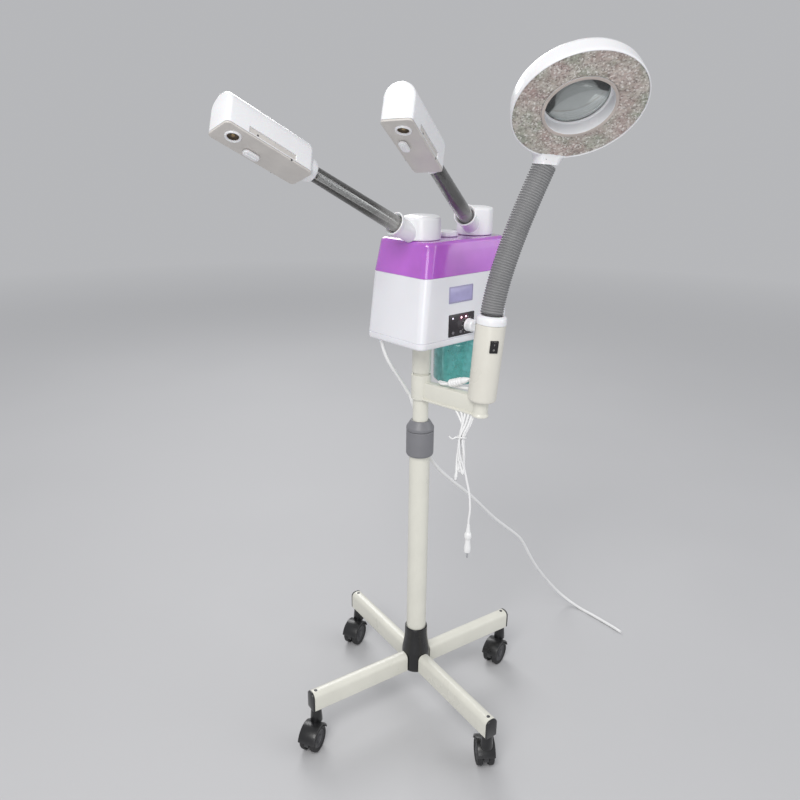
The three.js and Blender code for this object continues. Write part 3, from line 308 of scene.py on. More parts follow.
def sweep(path, radius_at, sides, capped=True):
    """A round bar along points. radius_at(distance) gives its radius along the way."""
    rings = []
    side = None
    travelled = 0.0
    for i, point in enumerate(path):
        ahead = (path[min(i + 1, len(path) - 1)] - path[max(i - 1, 0)]).normalized()
        if side is None:
            side = ahead.orthogonal().normalized()
        side = (side - ahead * side.dot(ahead)).normalized()
        other = ahead.cross(side)
        if i:
            travelled += (point - path[i - 1]).length
        radius = radius_at(travelled)
        ring = []
        for k in range(sides):
            angle = 2 * math.pi * k / sides
            ring.append(point + (side * math.cos(angle) + other * math.sin(angle)) * radius)
        rings.append(ring)
    return loft(rings, capped)


def cord(points, radius=CORD_RADIUS, sides=12):
    return sweep(smooth_path(points), lambda distance: radius, sides)


def turret_place(arm):
    return shift(arm["x"], TURRET_Y, 0) @ turn(arm["azimuth"], "Z")


def arm_port(arm):
    """Place of an arm's port: its X axis runs along the arm."""
    height = arm["turret_top"] - PORT_BELOW_TOP
    return turret_place(arm) @ shift(PORT_REACH, 0, height) @ turn(-ARM_ELEVATION, "Y")


# ------------------------------------------------------------------ materials


def add(tree, kind, inputs=None, **settings):
    """A shader node. An input may be a value or another node's output."""
    made = tree.nodes.new(kind)
    for key, value in settings.items():
        setattr(made, key, value)
    for key, value in (inputs or {}).items():
        if isinstance(value, bpy.types.NodeSocket):
            tree.links.new(value, made.inputs[key])
        else:
            made.inputs[key].default_value = value
    return made


def remap(tree, value, low, high, to_low, to_high):
    return add(tree, "ShaderNodeMapRange", {
        "Value": value, "From Min": low, "From Max": high, "To Min": to_low, "To Max": to_high,
    }).outputs["Result"]


def mixed(tree, share, first, second):
    return add(tree, "ShaderNodeMixRGB", {
        "Fac": share, "Color1": first, "Color2": second,
    }).outputs["Color"]


def rgb(color, gain=1.0):
    return (*(min(1.0, channel * gain) for channel in color), 1.0)


def empty_material(name, slot):
    material = bpy.data.materials.new(name)
    material.use_nodes = True
    material.node_tree.nodes.clear()
    material["slot"] = slot
    return material


def close(material, shader):
    """Ends a material with its surface shader."""
    add(material.node_tree, "ShaderNodeOutputMaterial", {"Surface": shader})
    return material


def own_space(tree):
    """The piece's own coordinates in metres, so that a pattern moves with its piece."""
    return add(tree, "ShaderNodeTexCoord").outputs["Object"]


def noise(tree, scale, detail=2):
    return add(tree, "ShaderNodeTexNoise", {
        "Vector": own_space(tree), "Scale": scale, "Detail": detail,
    }).outputs["Fac"]


def distance_from(tree, place):
    """Metres from a place that is given in millimetres."""
    return add(tree, "ShaderNodeVectorMath", {0: own_space(tree), 1: TO_FRAME @ place},
               operation="DISTANCE").outputs["Value"]


def combined(tree, operation, first, second):
    return add(tree, "ShaderNodeMath", {0: first, 1: second}, operation=operation).outputs[0]


def blended(tree, share, first, second):
    return add(tree, "ShaderNodeMixShader", {0: share, 1: first, 2: second}).outputs[0]


def bumped(tree, height, strength):
    """Fine surface relief, 0.4 mm deep at full strength."""
    return add(tree, "ShaderNodeBump", {
        "Height": height, "Strength": strength, "Distance": 0.0004,
    }).outputs["Normal"]


def body_shader(tree, color, roughness, mottle, mottle_scale, grain, grain_scale,
                metal=0.0, coat=0.0, wear=None, grime=None, soft=0.0):
    """Principled surface whose tone, roughness and relief all vary a little from place to place."""
    cloud = noise(tree, mottle_scale, 4)
    shade = remap(tree, cloud, 0.3, 0.7, 0.0, 1.0)
    tone = mixed(tree, shade, rgb(color, 1 - mottle), rgb(color, 1 + mottle))
    if wear or grime:
        point = add(tree, "ShaderNodeNewGeometry").outputs["Pointiness"]
    if wear:
        tone = mixed(tree, remap(tree, point, 0.52, 0.62, 0.0, 0.8), tone, rgb(wear))
    # Where the surface is hollow (low pointiness) a darker colour is mixed in, darkening grooves and inner
    # corners; on the hose this is painted shade between the ribs.
    if grime:
        tone = mixed(tree, remap(tree, point, 0.50, 0.44, 0.0, 0.85), tone, rgb(grime))
    rough = remap(tree, cloud, 0.3, 0.7, roughness * 0.85, roughness * 1.2)
    return add(tree, "ShaderNodeBsdfPrincipled", {
        "Base Color": tone, "Roughness": rough, "Metallic": metal, "Coat Weight": coat,
        "Coat Roughness": 0.12, "Subsurface Weight": soft, "Subsurface Scale": 0.004,
        "Normal": bumped(tree, noise(tree, grain_scale), grain),
    }).outputs["BSDF"]


def moulded(name, slot, color, roughness, mottle=0.03, mottle_scale=16, grain=0.12,
            grain_scale=900, **more):
    """Opaque plastic, paint, rubber or metal."""
    material = empty_material(name, slot)
    shader = body_shader(
        material.node_tree, color, roughness, mottle, mottle_scale, grain, grain_scale, **more)
    return close(material, shader)


def clear(name, slot, color, clarity, roughness, tint=None, grain=0.1, grain_scale=300,
          facing_power=0.35, edge_share=0.15, mottle=0.06, mottle_scale=30, haze=None, **more):
    """A body mixed with a tinted see-through layer, under a clear surface that mirrors the lights.

    haze is a place and two distances in millimetres: nearer to it, steam has misted the wall.
    """
    material = empty_material(name, slot)
    tree = material.node_tree
    body = body_shader(tree, color, roughness, mottle, mottle_scale, grain, grain_scale, **more)
    through = add(tree, "ShaderNodeBsdfTransparent", {"Color": rgb(tint or color)}).outputs["BSDF"]
    edge = add(tree, "ShaderNodeLayerWeight", {"Blend": facing_power}).outputs["Facing"]
    share = remap(tree, edge, 0.0, 1.0, clarity, clarity * edge_share)
    if haze:
        centre, near, far = haze
        fade = remap(tree, distance_from(tree, centre), near * 0.001, far * 0.001, 0.55, 1.0)
        share = combined(tree, "MULTIPLY", share, fade)
    inside = blended(tree, share, body, through)
    shine = add(tree, "ShaderNodeBsdfGlossy", {"Roughness": roughness}).outputs[0]
    glance = add(tree, "ShaderNodeFresnel", {"IOR": 1.5}).outputs["Fac"]
    return close(material, blended(tree, glance, inside, shine))


def glowing(name, slot, color, strength):
    """Small lit indicator."""
    material = empty_material(name, slot)
    tree = material.node_tree
    tone = mixed(tree, noise(tree, 900), rgb(color), rgb((1, 1, 1)))
    return close(material, add(tree, "ShaderNodeBsdfPrincipled", {
        "Base Color": tone, "Roughness": 0.2, "Emission Color": tone, "Emission Strength": strength,
    }).outputs["BSDF"])


def panel_gloss(name, slot, color, lights):
    """Black gloss plate with a soft pink glow round each indicator light."""
    material = empty_material(name, slot)
    tree = material.node_tree
    body = body_shader(tree, color, 0.16, 0.1, 60, 0.03, 900, coat=0.4)
    total = 0.0
    for place, reach in lights:
        glow = remap(tree, distance_from(tree, place), 0.0, reach * 0.001, 0.5, 0.0)
        total = combined(tree, "ADD", combined(tree, "POWER", glow, 2.6), total)
    halo = add(tree, "ShaderNodeEmission", {"Color": rgb((1, 0.12, 0.4)), "Strength": total})
    return close(material, add(
        tree, "ShaderNodeAddShader", {0: body, 1: halo.outputs[0]}).outputs[0])


def crystal(name, slot):
    """Cut-plastic ring of the lamp: painted glints on some facets and painted shade on others, over
    drifting warm tones.
    """
    material = empty_material(name, slot)
    tree = material.node_tree
    cells = add(tree, "ShaderNodeTexVoronoi", {"Vector": own_space(tree), "Scale": 430})
    level = add(tree, "ShaderNodeSeparateColor", {"Color": cells.outputs["Color"]}).outputs["Red"]
    warm = mixed(tree, remap(tree, noise(tree, 26), 0.38, 0.62, 0, 1),
                 rgb((0.47, 0.35, 0.32)), rgb((0.38, 0.40, 0.32)))
    warm = mixed(tree, remap(tree, noise(tree, 60, 4), 0.40, 0.66, 0, 0.7), warm,
                 rgb((0.66, 0.60, 0.54)))
    # Near-white cells are painted glints; near-black cells on the next line are painted shade.
    painted_glints = mixed(tree, remap(tree, level, 0.70, 1.0, 0, 0.75), warm, rgb((0.95, 0.92, 0.88)))
    tone = mixed(tree, remap(tree, level, 0.34, 0.0, 0, 0.65), painted_glints, rgb((0.15, 0.12, 0.11)))
    return close(material, add(tree, "ShaderNodeBsdfPrincipled", {
        "Base Color": tone, "Roughness": 0.16, "Metallic": 0.1, "Coat Weight": 0.7,
        "Coat Roughness": 0.05, "Normal": bumped(tree, level, 0.35),
    }).outputs["BSDF"])


# place and reach of the glow of each indicator light, from left to right
PANEL_LIGHTS = (
    (Vector((11.6, PLATE_FRONT, 802.0)), 4.0),
    (Vector((32.0, PLATE_FRONT, 801.4)), 10.0),
    (Vector((43.0, PLATE_FRONT, 802.0)), 10.0),
)

white = moulded("white_gloss_plastic", "white_plastic", (0.86, 0.86, 0.88), 0.24, coat=0.25, soft=0.03)
casing_white = moulded("casing_plastic", "white_plastic", (0.84, 0.84, 0.88), 0.22, mottle=0.025,
                       mottle_scale=9, coat=0.35, soft=0.03)
warm_white = moulded("warm_white_plastic", "white_plastic", (0.80, 0.77, 0.72), 0.32, coat=0.15)
# The colour for hollows makes the paint darker in its grooves and inner corners.
cream_paint = moulded("cream_powder_coat", "cream_steel", (0.73, 0.72, 0.645), 0.3, mottle=0.035,
                      grain=0.3, grain_scale=520, coat=0.2, grime=(0.35, 0.34, 0.29))
cream_plastic = moulded("cream_plastic", "cream_plastic", (0.72, 0.70, 0.63), 0.3, coat=0.2)
black_plastic = moulded("black_moulding", "black_plastic", (0.008, 0.008, 0.009), 0.3, mottle=0.25,
                        grain=0.2, grain_scale=700, coat=0.25, wear=(0.04, 0.04, 0.042))
caster_grey = moulded("caster_disc_plastic", "tyre_rubber", (0.05, 0.05, 0.055), 0.42, mottle=0.2,
                      grain=0.3, wear=(0.11, 0.11, 0.115))
rubber = moulded("tyre_rubber", "tyre_rubber", (0.02, 0.02, 0.021), 0.62, mottle=0.3, grain=0.5,
                 grain_scale=420, wear=(0.075, 0.073, 0.07))
grey_plastic = moulded("grey_collar_plastic", "grey_plastic", (0.20, 0.20, 0.215), 0.4, mottle=0.06,
                       grain=0.3, grain_scale=600, wear=(0.30, 0.30, 0.32))
# The near-black colour for its hollows, between the ribs, is painted shade.
hose_grey = moulded("hose_sleeve", "hose_grey", (0.34, 0.34, 0.345), 0.42, mottle=0.07, grain=0.25,
                    grain_scale=700, grime=(0.05, 0.05, 0.052))
steel = moulded("bright_steel", "steel", (0.62, 0.63, 0.65), 0.24, metal=1.0, mottle=0.06, grain=0.2)
dark_metal = moulded("dark_screw", "steel", (0.08, 0.08, 0.085), 0.35, metal=0.8, mottle=0.2)
# White plastic coloured grey: painted shade for the spray heads' undersides and finger recesses.
white_in_painted_shade = moulded("white_plastic_painted_shade", "white_plastic", (0.62, 0.59, 0.56), 0.34, mottle=0.05,
                     mottle_scale=40, grain=0.2)
throat_brown = moulded("nozzle_throat", "steel", (0.10, 0.075, 0.05), 0.45, mottle=0.3)
brass = moulded("nozzle_insert", "steel", (0.33, 0.24, 0.13), 0.4, metal=0.7, mottle=0.25)
cord_white = moulded("cord_jacket", "cord_white", (0.86, 0.86, 0.86), 0.34, mottle=0.04, grain=0.2,
                     coat=0.2)
nylon = moulded("natural_nylon", "nylon", (0.78, 0.76, 0.70), 0.4, grain=0.2)
silicone = moulded("silicone_tube", "silicone", (0.70, 0.68, 0.64), 0.5, soft=0.1)
board_green = moulded("circuit_board", "board_green", (0.03, 0.14, 0.06), 0.4, mottle=0.3,
                      mottle_scale=180)
button_grey = moulded("button_caps", "button_grey", (0.16, 0.15, 0.17), 0.3)
rocker_black = moulded("rocker_gloss", "panel_black", (0.014, 0.013, 0.014), 0.2, mottle=0.2,
                       wear=(0.06, 0.06, 0.06))
panel_black = panel_gloss("panel_gloss", "panel_black", (0.016, 0.011, 0.016), PANEL_LIGHTS)
lcd = moulded("display_window", "display_blue", (0.40, 0.37, 0.62), 0.14, mottle=0.12,
              mottle_scale=40, grain=0.04, coat=0.6)
lcd_dark = moulded("display_mask", "display_blue", (0.36, 0.34, 0.50), 0.2, mottle=0.1)
mark_grey = moulded("printed_mark", "white_plastic", (0.30, 0.30, 0.29), 0.4)
# The lamp's inner border ring is whitish translucent plastic; its beige tone is painted shade and painted
# reflection.
border_painted_shade = moulded("lamp_border_painted_shade", "diffuser", (0.56, 0.49, 0.45), 0.2, mottle=0.14,
                       mottle_scale=30, coat=0.4)
purple = clear("purple_lid", "purple_clear", (0.66, 0.17, 0.84), 0.32, 0.16,
               tint=(0.80, 0.42, 0.95), grain=0.05, coat=0.9, soft=0.15, mottle=0.12, mottle_scale=14)
teal = clear("teal_jar", "jar_teal", (0.24, 0.92, 0.86), 0.66, 0.08, tint=(0.72, 0.99, 0.98),
             grain=0.9, grain_scale=110, coat=0.9, mottle=0.3, mottle_scale=90)
water = clear("jar_water", "jar_teal", (0.22, 0.92, 0.86), 0.2, 0.08, tint=(0.4, 0.9, 0.85),
              grain=1.0, grain_scale=160, mottle=0.7, mottle_scale=260, soft=0.2)


arm_glass = {
    side: clear(
        f"arm_glass_{side}", "clear_glass", (0.66, 0.65, 0.63), 0.96, 0.05, tint=(0.88, 0.88, 0.87),
        grain=0.0, facing_power=0.16, edge_share=0.5,
        haze=(arm_port(arm).translation, 5, 60),
    )
    for side, arm in ARMS.items()
}
lens_glass = clear("lens_glass", "clear_glass", (0.22, 0.23, 0.23), 0.90, 0.04,
                   tint=(0.90, 0.93, 0.92), grain=0.02, coat=1.0, edge_share=0.5)
lamp_crystal = crystal("lamp_crystal", "diffuser")
light_white = glowing("white_indicator", "panel_black", (0.75, 0.70, 1.0), 0.9)
light_red = glowing("red_indicator", "panel_black", (1.0, 0.22, 0.42), 3.0)

# ------------------------------------------------------------------ pieces

SHARP = 32  # degrees: an edge that turns more shows as a crease


def bare_piece(name, shape, material, sharp=SHARP):
    """A mesh in the frame, smooth but for edges that turn more than sharp degrees."""
    mesh = bpy.data.meshes.new(name)
    mesh.from_pydata([TO_FRAME @ vert for vert in shape.verts], [], shape.faces)
    tidy = bmesh.new()
    tidy.from_mesh(mesh)
    bmesh.ops.recalc_face_normals(tidy, faces=tidy.faces)
    tidy.to_mesh(mesh)
    tidy.free()
    mesh.shade_smooth()
    mesh.set_sharp_from_angle(angle=math.radians(sharp))
    mesh.materials.append(material)
    obj = bpy.data.objects.new(name, mesh)
    bpy.context.scene.collection.objects.link(obj)
    return obj


def piece(name, shape, material, body, stands_for=(), sharp=SHARP):
    """One visible piece that rides on a body and may stand for some of the part's nodes."""
    obj = bare_piece(name, shape, material, sharp)
    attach(obj, body)
    if stands_for:
        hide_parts(*stands_for)
    return obj


def carve(obj, *cutters):
    """Cuts shapes out of a finished piece."""
    for shape in cutters:
        tool = bare_piece("carving_tool", shape, obj.data.materials[0])
        cut = obj.modifiers.new("carve", "BOOLEAN")
        cut.operation = "DIFFERENCE"
        cut.solver = "EXACT"
        cut.object = tool
        bpy.context.view_layer.update()
        graph = bpy.context.evaluated_depsgraph_get()
        shaped = bpy.data.meshes.new_from_object(obj.evaluated_get(graph))
        obj.modifiers.remove(cut)
        obj.data = shaped
        shaped.set_sharp_from_angle(angle=math.radians(SHARP))
        bpy.data.objects.remove(tool)


def dress(look, *nodes):
    """Gives nodes of the part, shown as they are, a procedural finish."""
    for name in nodes:
        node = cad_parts[name]
        node.data.materials.clear()
        node.data.materials.append(look)


# ------------------------------------------------------------------ base and casters


def leg_section(x, inset=0.0):
    """Outline of a leg tube at a distance along it: tight corners below, rounder ones above."""
    outline = rounded_rect(
        -LEG_HALF_WIDTH + inset, LEG_HALF_WIDTH - inset, LEG_LOW + inset, LEG_TOP - inset,
        max(2.5 - inset, 0.2), 10 - inset, steps=7)
    return [Vector((x, y, z)) for y, z in outline]


def build_leg(number, place):
    """Leg tube with its end plug and the screw that holds the caster's stem."""
    tube = loft([
        leg_section(LEG_START), leg_section(LEG_START + 40), leg_section(180),
        leg_section(LEG_END - 0.6), leg_section(LEG_END, 0.5),
    ])
    piece(f"leg_{number}_tube", moved(tube, place), cream_paint, "stand", [f"leg_{number}"])
    start = LEG_END + 0.3
    plug = loft([
        leg_section(start, 0.4), leg_section(start + 0.5), leg_section(start + 2.2),
        leg_section(start + 3.1, 0.5), leg_section(start + 3.5, 1.4),
    ])
    piece(f"leg_{number}_plug", moved(plug, place), black_plastic, "stand",
          [f"leg_end_cap_{number}"])
    nut = turned([(0, 116.6), (3.4, 116.6), (3.4, 118.0), (2.6, 118.5), (0, 118.6)], 0.4, 24)
    piece(f"stem_screw_{number}", moved(nut, place @ shift(CASTER_REACH, 0, 0)), dark_metal, "stand")


def fender_ring(angle):
    """Cross-section of the caster's hood at an angle round the axle: a flattened arch."""
    inner, outer, half = WHEEL_RADIUS + 1.2, WHEEL_RADIUS + 4.0, 16.6
    ring = []
    for y, radius in rounded_rect(-half, half, inner, outer, 0.6, 1.3, steps=3):
        ring.append(Vector((radius * math.cos(angle), y, radius * math.sin(angle))))
    return ring


def build_caster(number, place):
    """Twin-wheel caster under a hood, trailing behind its swivel stem."""
    hood_place = place @ shift(CASTER_TRAIL, 0, WHEEL_RADIUS)
    sideways = turn(-90, "X")
    arch = loft([fender_ring(math.radians(12 + 152 * i / 24)) for i in range(25)])
    half_turn = [polar(26.2, math.radians(-5 + 190 * i / 28)).xy for i in range(29)]
    web = across_y(half_turn, -4.4, 4.4)
    boss = moved(turned([(0, -4.6), (8, -4.6), (8, 4.6), (0, 4.6)], 0.6, 32), sideways)
    neck = turned([(0, 51.0), (11.5, 51.0), (11, 60), (9.4, 79.7), (0, 79.7)], 1.5, 40)
    hood = joined(moved(joined(arch, web, boss), hood_place), moved(neck, place))
    piece(f"caster_{number}_hood", hood, black_plastic, f"caster_{number}", [f"caster_hood_{number}"])
    tread = turned([
        (17.5, 5.2), (WHEEL_RADIUS - 1, 5.2), (WHEEL_RADIUS, 6.6), (WHEEL_RADIUS, 13.2),
        (WHEEL_RADIUS - 1.8, 15.8), (19.6, 16), (17.5, 14.6),
    ], 1.2, 56)
    disc = turned([
        (0, 5.4), (17.7, 5.4), (17.7, 14.2), (15.6, 14.2), (13.5, 12.6), (8.6, 12.6), (7, 15.2), (0, 15.7),
    ], 0.9, 48)
    tyres, discs = [], []
    for side in (sideways, turn(90, "X")):
        tyres.append(moved(tread, hood_place @ side))
        discs.append(moved(disc, hood_place @ side))
    piece(f"caster_{number}_tyres", joined(*tyres), rubber, f"wheels_{number}",
          [f"caster_wheels_{number}"])
    piece(f"caster_{number}_discs", joined(*discs), caster_grey, f"wheels_{number}")


def build_base():
    """Hub with four legs on casters."""
    profile = [
        (0, HUB_BOTTOM), (25.5, HUB_BOTTOM), (27, HUB_BOTTOM + 2), (27, LEG_TOP + 1), (25.6, 128),
        (23.4, 142), (22.2, 156), (22.0, HUB_TOP - 1.4), (21.2, HUB_TOP), (19.3, HUB_TOP),
        (19.3, 150), (0, 150),
    ]
    piece("hub_moulding", turned(profile, 1.6, 72), black_plastic, "stand", ["base_hub"])
    for number, yaw in enumerate(CASTER_YAWS, start=1):
        leg = turn(FIRST_LEG_AZIMUTH + 90 * (number - 1), "Z")
        build_leg(number, leg)
        build_caster(number, leg @ shift(CASTER_REACH, 0, 0) @ turn(yaw, "Z"))


# ------------------------------------------------------------------ pole


def build_pole():
    """Fixed outer pole, sliding inner pole, the clamp collar between them and the casing's socket."""
    outer = pipe(POLE_RADIUS, POLE_WALL, POLE_LOW, POLE_TOP, 72)
    inner = pipe(MAST_RADIUS, MAST_WALL, MAST_LOW, MAST_TOP, 64)
    low, top, bore, round_mast = COLLAR_LOW, COLLAR_TOP, POLE_RADIUS + 0.3, MAST_RADIUS + 0.5
    sleeve = turned([
        (bore, low), (23.4, low), (24.8, low + 3), (25, low + 7), (25, top - 1.8), (24.4, top - 0.4),
        (bore, top),
    ], 1.2, 72)
    nut = turned([
        (bore, top + 0.3), (24.2, top + 0.3), (25.1, top + 1.4), (25.1, top + 6), (23.6, top + 8.4),
        (17.4, top + 18.4), (16.4, top + 19), (round_mast, top + 19), (round_mast, top + 10.5),
        (bore, top + 7.5),
    ], 1.0, 72)
    piece("outer_pole", outer, cream_paint, "stand", ["outer_tube"])
    piece("inner_pole", inner, cream_paint, "mast", ["inner_tube"])
    piece("pole_collar", sleeve, grey_plastic, "stand", ["collar_sleeve"])
    piece("pole_collar_nut", nut, grey_plastic, "collar_nut", ["collar_nut"])
    dress(nylon, "collar_bush")
    bore, top = MAST_RADIUS + 0.4, CASING_BOTTOM - 0.6
    socket = turned([
        (bore, SOCKET_LOW), (16.5, SOCKET_LOW), (16.5, top - 13.6), (19.2, top - 13.4),
        (21, top - 11.6), (21, top), (bore, top),
    ], 0.8, 64)
    piece("casing_socket", socket, cream_paint, "steamer", ["body_socket"])


# ------------------------------------------------------------------ lamp bracket and post


def post_frame():
    """Place of the lamp post's foot, leaning as the post does."""
    lean = math.radians(POST_LEAN)
    up = polar(math.sin(lean), math.radians(POST_LEAN_AZIMUTH), math.cos(lean))
    return Matrix.Translation(POST_FOOT) @ aimed(up)


def build_bracket():
    """Casting of the lamp arm: sleeve on the mast, flanged web and cup for the post."""
    azimuth = math.degrees(math.atan2(POST_FOOT.y, POST_FOOT.x))
    reach = math.hypot(POST_FOOT.x, POST_FOOT.y)
    low = LAMP_ARM_LOW
    web = block((9, -9, low + 1), (reach - 3, 9, LAMP_ARM_TOP), 1.6, 3)
    flange = block((9, -11.5, low), (reach + 2, 11.5, low + 3.6), 1.2, 4)
    arm = moved(joined(web, flange), turn(azimuth, "Z"))
    sleeve = turned([
        (MAST_RADIUS + 0.4, low), (17.6, low), (17.6, LAMP_SLEEVE_TOP),
        (MAST_RADIUS + 0.4, LAMP_SLEEVE_TOP),
    ], 1.0, 64)
    cup = turned([
        (0, -27), (14.8, -27), (14.8, -24.4), (12.8, -21), (12.5, -4), (13.4, -0.8), (0, -0.8),
    ], 1.2, 56)
    shape = joined(arm, sleeve, moved(cup, post_frame()))
    piece("lamp_arm_casting", shape, cream_paint, "lamp_arm", ["lamp_bracket"])


def build_post():
    """Lamp post with its top cap and the rocker switch in its side."""
    place = post_frame()
    shell = [
        (0, -20), (7.7, -20), (7.7, 0.2), (19.5, 0.2), (23.2, 2), (POST_RADIUS, 6),
        (POST_TOP_RADIUS, POST_HEIGHT), (22, POST_HEIGHT), (0, POST_HEIGHT - 0.5),
    ]
    piece("post_shell", moved(turned(shell, 1.5, 72), place), cream_plastic, "lamp_post",
          ["lamp_post"])
    cap = turned([
        (17.2, POST_HEIGHT + 0.3), (24.6, POST_HEIGHT + 0.3), (25.0, POST_HEIGHT + 1.2),
        (25.0, POST_CAP_TOP - 8), (24.2, POST_CAP_TOP - 3.4), (21, POST_CAP_TOP - 0.6),
        (18.8, POST_CAP_TOP), (17.2, POST_CAP_TOP - 1),
    ], 1.3, 72)
    piece("post_top_cap", moved(cap, place), white, "lamp_post", ["post_cap"])
    front = place @ turn(SWITCH_AZIMUTH, "Z") @ shift(24.4, 0, SWITCH_HEIGHT) @ turn(90, "Y")
    surround = block((-10.2, -6.9, -4), (10.2, 6.9, 1.0), 0.5, 1.2)
    bezel = piece("switch_bezel", moved(surround, front), rocker_black, "lamp_post")
    carve(bezel, moved(block((-8.9, -5.6, -2.4), (8.9, 5.6, 4), 0.1, 0.4), front))
    rocker = [(-8.6, -2.0), (8.6, -2.0), (8.6, 1.4), (0, 0.5), (-8.6, 1.4)]
    profile = eased(rocker, 0.5, closed=True)
    keys = across_y(profile, -5.2, -4.8, 4.8, 5.2)
    tilt = shift(0, 0, -3.5) @ turn(SWITCH_TILT, "Y") @ shift(0, 0, 3.5)
    piece("rocker_key", moved(keys, front @ tilt), rocker_black, "rocker_switch", ["rocker_switch"])
    bar = block((-5.6, -0.4, 1.0), (-3.0, 0.4, 1.5), 0.15)
    ring = moved(turned([(0.8, 0.9), (1.5, 0.9), (1.5, 1.45), (0.8, 1.45)], 0.1, 24),
                 shift(4.4, 0, 0))
    piece("rocker_marks", moved(joined(bar, ring), front @ tilt), mark_grey, "rocker_switch")


# ------------------------------------------------------------------ hose and lamp head


def hose_points():
    """Centre line of the gooseneck's sleeve: one curve from the post's cap to the lamp's neck."""
    a, d = HOSE_START, HOSE_END
    b, c = a + HOSE_START_HANDLE, d - HOSE_END_HANDLE
    dense = []
    for i in range(401):
        t = i / 400
        u = 1 - t
        dense.append(u ** 3 * a + 3 * u ** 2 * t * b + 3 * u * t ** 2 * c + t ** 3 * d)
    dense.append(d + HOSE_END_HANDLE.normalized() * HOSE_OVERLAP)
    return evenly(dense, HOSE_PITCH / 6)


def build_hose():
    """Ribbed sleeve in three lengths. Each spans one joint and meets the next at a rib."""
    path = hose_points()
    count = len(path) - 1
    joins = [0] + [6 * round(share * count / 6) for share in HOSE_SPLITS] + [count]
    nodes = ("hose_lower", "hose_middle", "hose_upper")
    step = HOSE_PITCH / 6

    def rib(distance):
        phase = abs(math.sin(math.pi * distance / HOSE_PITCH))
        return HOSE_RADIUS - 1.9 + 1.9 * phase ** 0.7

    for i, node in enumerate(nodes):
        first, last = joins[i], joins[i + 1]
        begin = max(first - 1, 0)
        shape = sweep(path[begin:last + 2], lambda distance, at=begin * step: rib(distance + at), 48,
                      capped=False)
        sleeve = bare_piece(f"hose_sleeve_{i + 1}", shape, hose_grey, sharp=80)
        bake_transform(sleeve)
        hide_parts(node)


def lamp_frame():
    """Place of the lamp's face: X points at the neck and Z at the lamp's back."""
    across = (LAMP_TO_NECK - LAMP_BACK * LAMP_TO_NECK.dot(LAMP_BACK)).normalized()
    other = LAMP_BACK.cross(across)
    basis = Matrix((across, other, LAMP_BACK)).transposed().to_4x4()
    return Matrix.Translation(LAMP_CENTRE) @ basis


def faceted_ring(inner, outer, low, high, seed):
    """Ring whose face is broken into small random facets, like cut plastic."""
    rng = random.Random(seed)
    rows, around = 12, 150
    verts, faces = [], []
    for row in range(rows + 1):
        for i in range(around):
            inside = 0 < row < rows
            radius = inner + (outer - inner) * (row + (rng.uniform(-0.3, 0.3) if inside else 0)) / rows
            angle = 2 * math.pi * (i + 0.5 * (row % 2) + rng.uniform(-0.25, 0.25)) / around
            height = rng.uniform(low, high) if inside else high
            verts.append(polar(radius, angle, height))
    for row in range(rows):
        for i in range(around):
            j = (i + 1) % around
            a, b = row * around + i, row * around + j
            c, d = (row + 1) * around + j, (row + 1) * around + i
            faces += [[a, b, c], [a, c, d]]
    return Shape(verts, faces)


def ellipse(centre, first, second, count=40):
    return [
        centre + first * math.cos(2 * math.pi * i / count) + second * math.sin(2 * math.pi * i / count)
        for i in range(count)
    ]


def build_lamp():
    """Ring lamp: housing, cut-plastic face, inner border and the magnifier lens in its bore."""
    place = lamp_frame()
    body = "lamp_head"
    bore, border, rim, depth = LAMP_BORE, LAMP_BORDER, LAMP_RADIUS, LAMP_DEPTH
    housing = turned([
        (bore, 1.6), (border - 2.8, 1.6), (border - 2.8, 5), (rim - 2.4, 5), (rim - 2.4, 0.4),
        (rim - 0.6, 0.2), (rim, 2), (rim - 0.2, 6), (rim - 3, depth - 10), (rim - 6, depth - 4),
        (rim - 15, depth), (bore + 3, depth), (bore, depth - 2),
    ], 1.6, 128)
    piece("lamp_ring", moved(housing, place), white, body, ["lamp_housing"], sharp=50)
    prism = faceted_ring(border - 2.6, rim - 2.6, 0.5, 2.0, seed=7)
    piece("lamp_prism_ring", moved(prism, place), lamp_crystal, body, ["lamp_diffuser"], sharp=1)
    trim = turned([
        (bore + 0.1, 0.4), (bore + 1.5, 0.2), (border - 3, 0.2), (border - 3, 1.5), (bore + 0.1, 1.5),
    ], 0.6, 128)
    # Its beige tone is painted shade and painted reflection on a whitish ring.
    piece("lamp_inner_border", moved(trim, place), border_painted_shade, body)
    seat = turned([
        (bore - 2.4, 21.8), (bore + 0.4, 21.0), (bore + 0.4, 23.8), (bore - 2.4, 23.8),
    ], 0.5, 96)
    piece("lens_seat", moved(seat, place), white, body)
    shares = [i / 12 for i in range(1, 13)]
    edge = bore - 0.5
    lens = [(0, LENS_FRONT)]
    lens += [(edge * share, LENS_FRONT + LENS_CROWN * share ** 2) for share in shares]
    lens += [(edge * share, LENS_BACK - LENS_CROWN * share ** 2) for share in reversed(shares)]
    lens.append((0, LENS_BACK))
    piece("lens_disc", moved(lathe(lens, 96), place), lens_glass, body, ["magnifier_lens"])


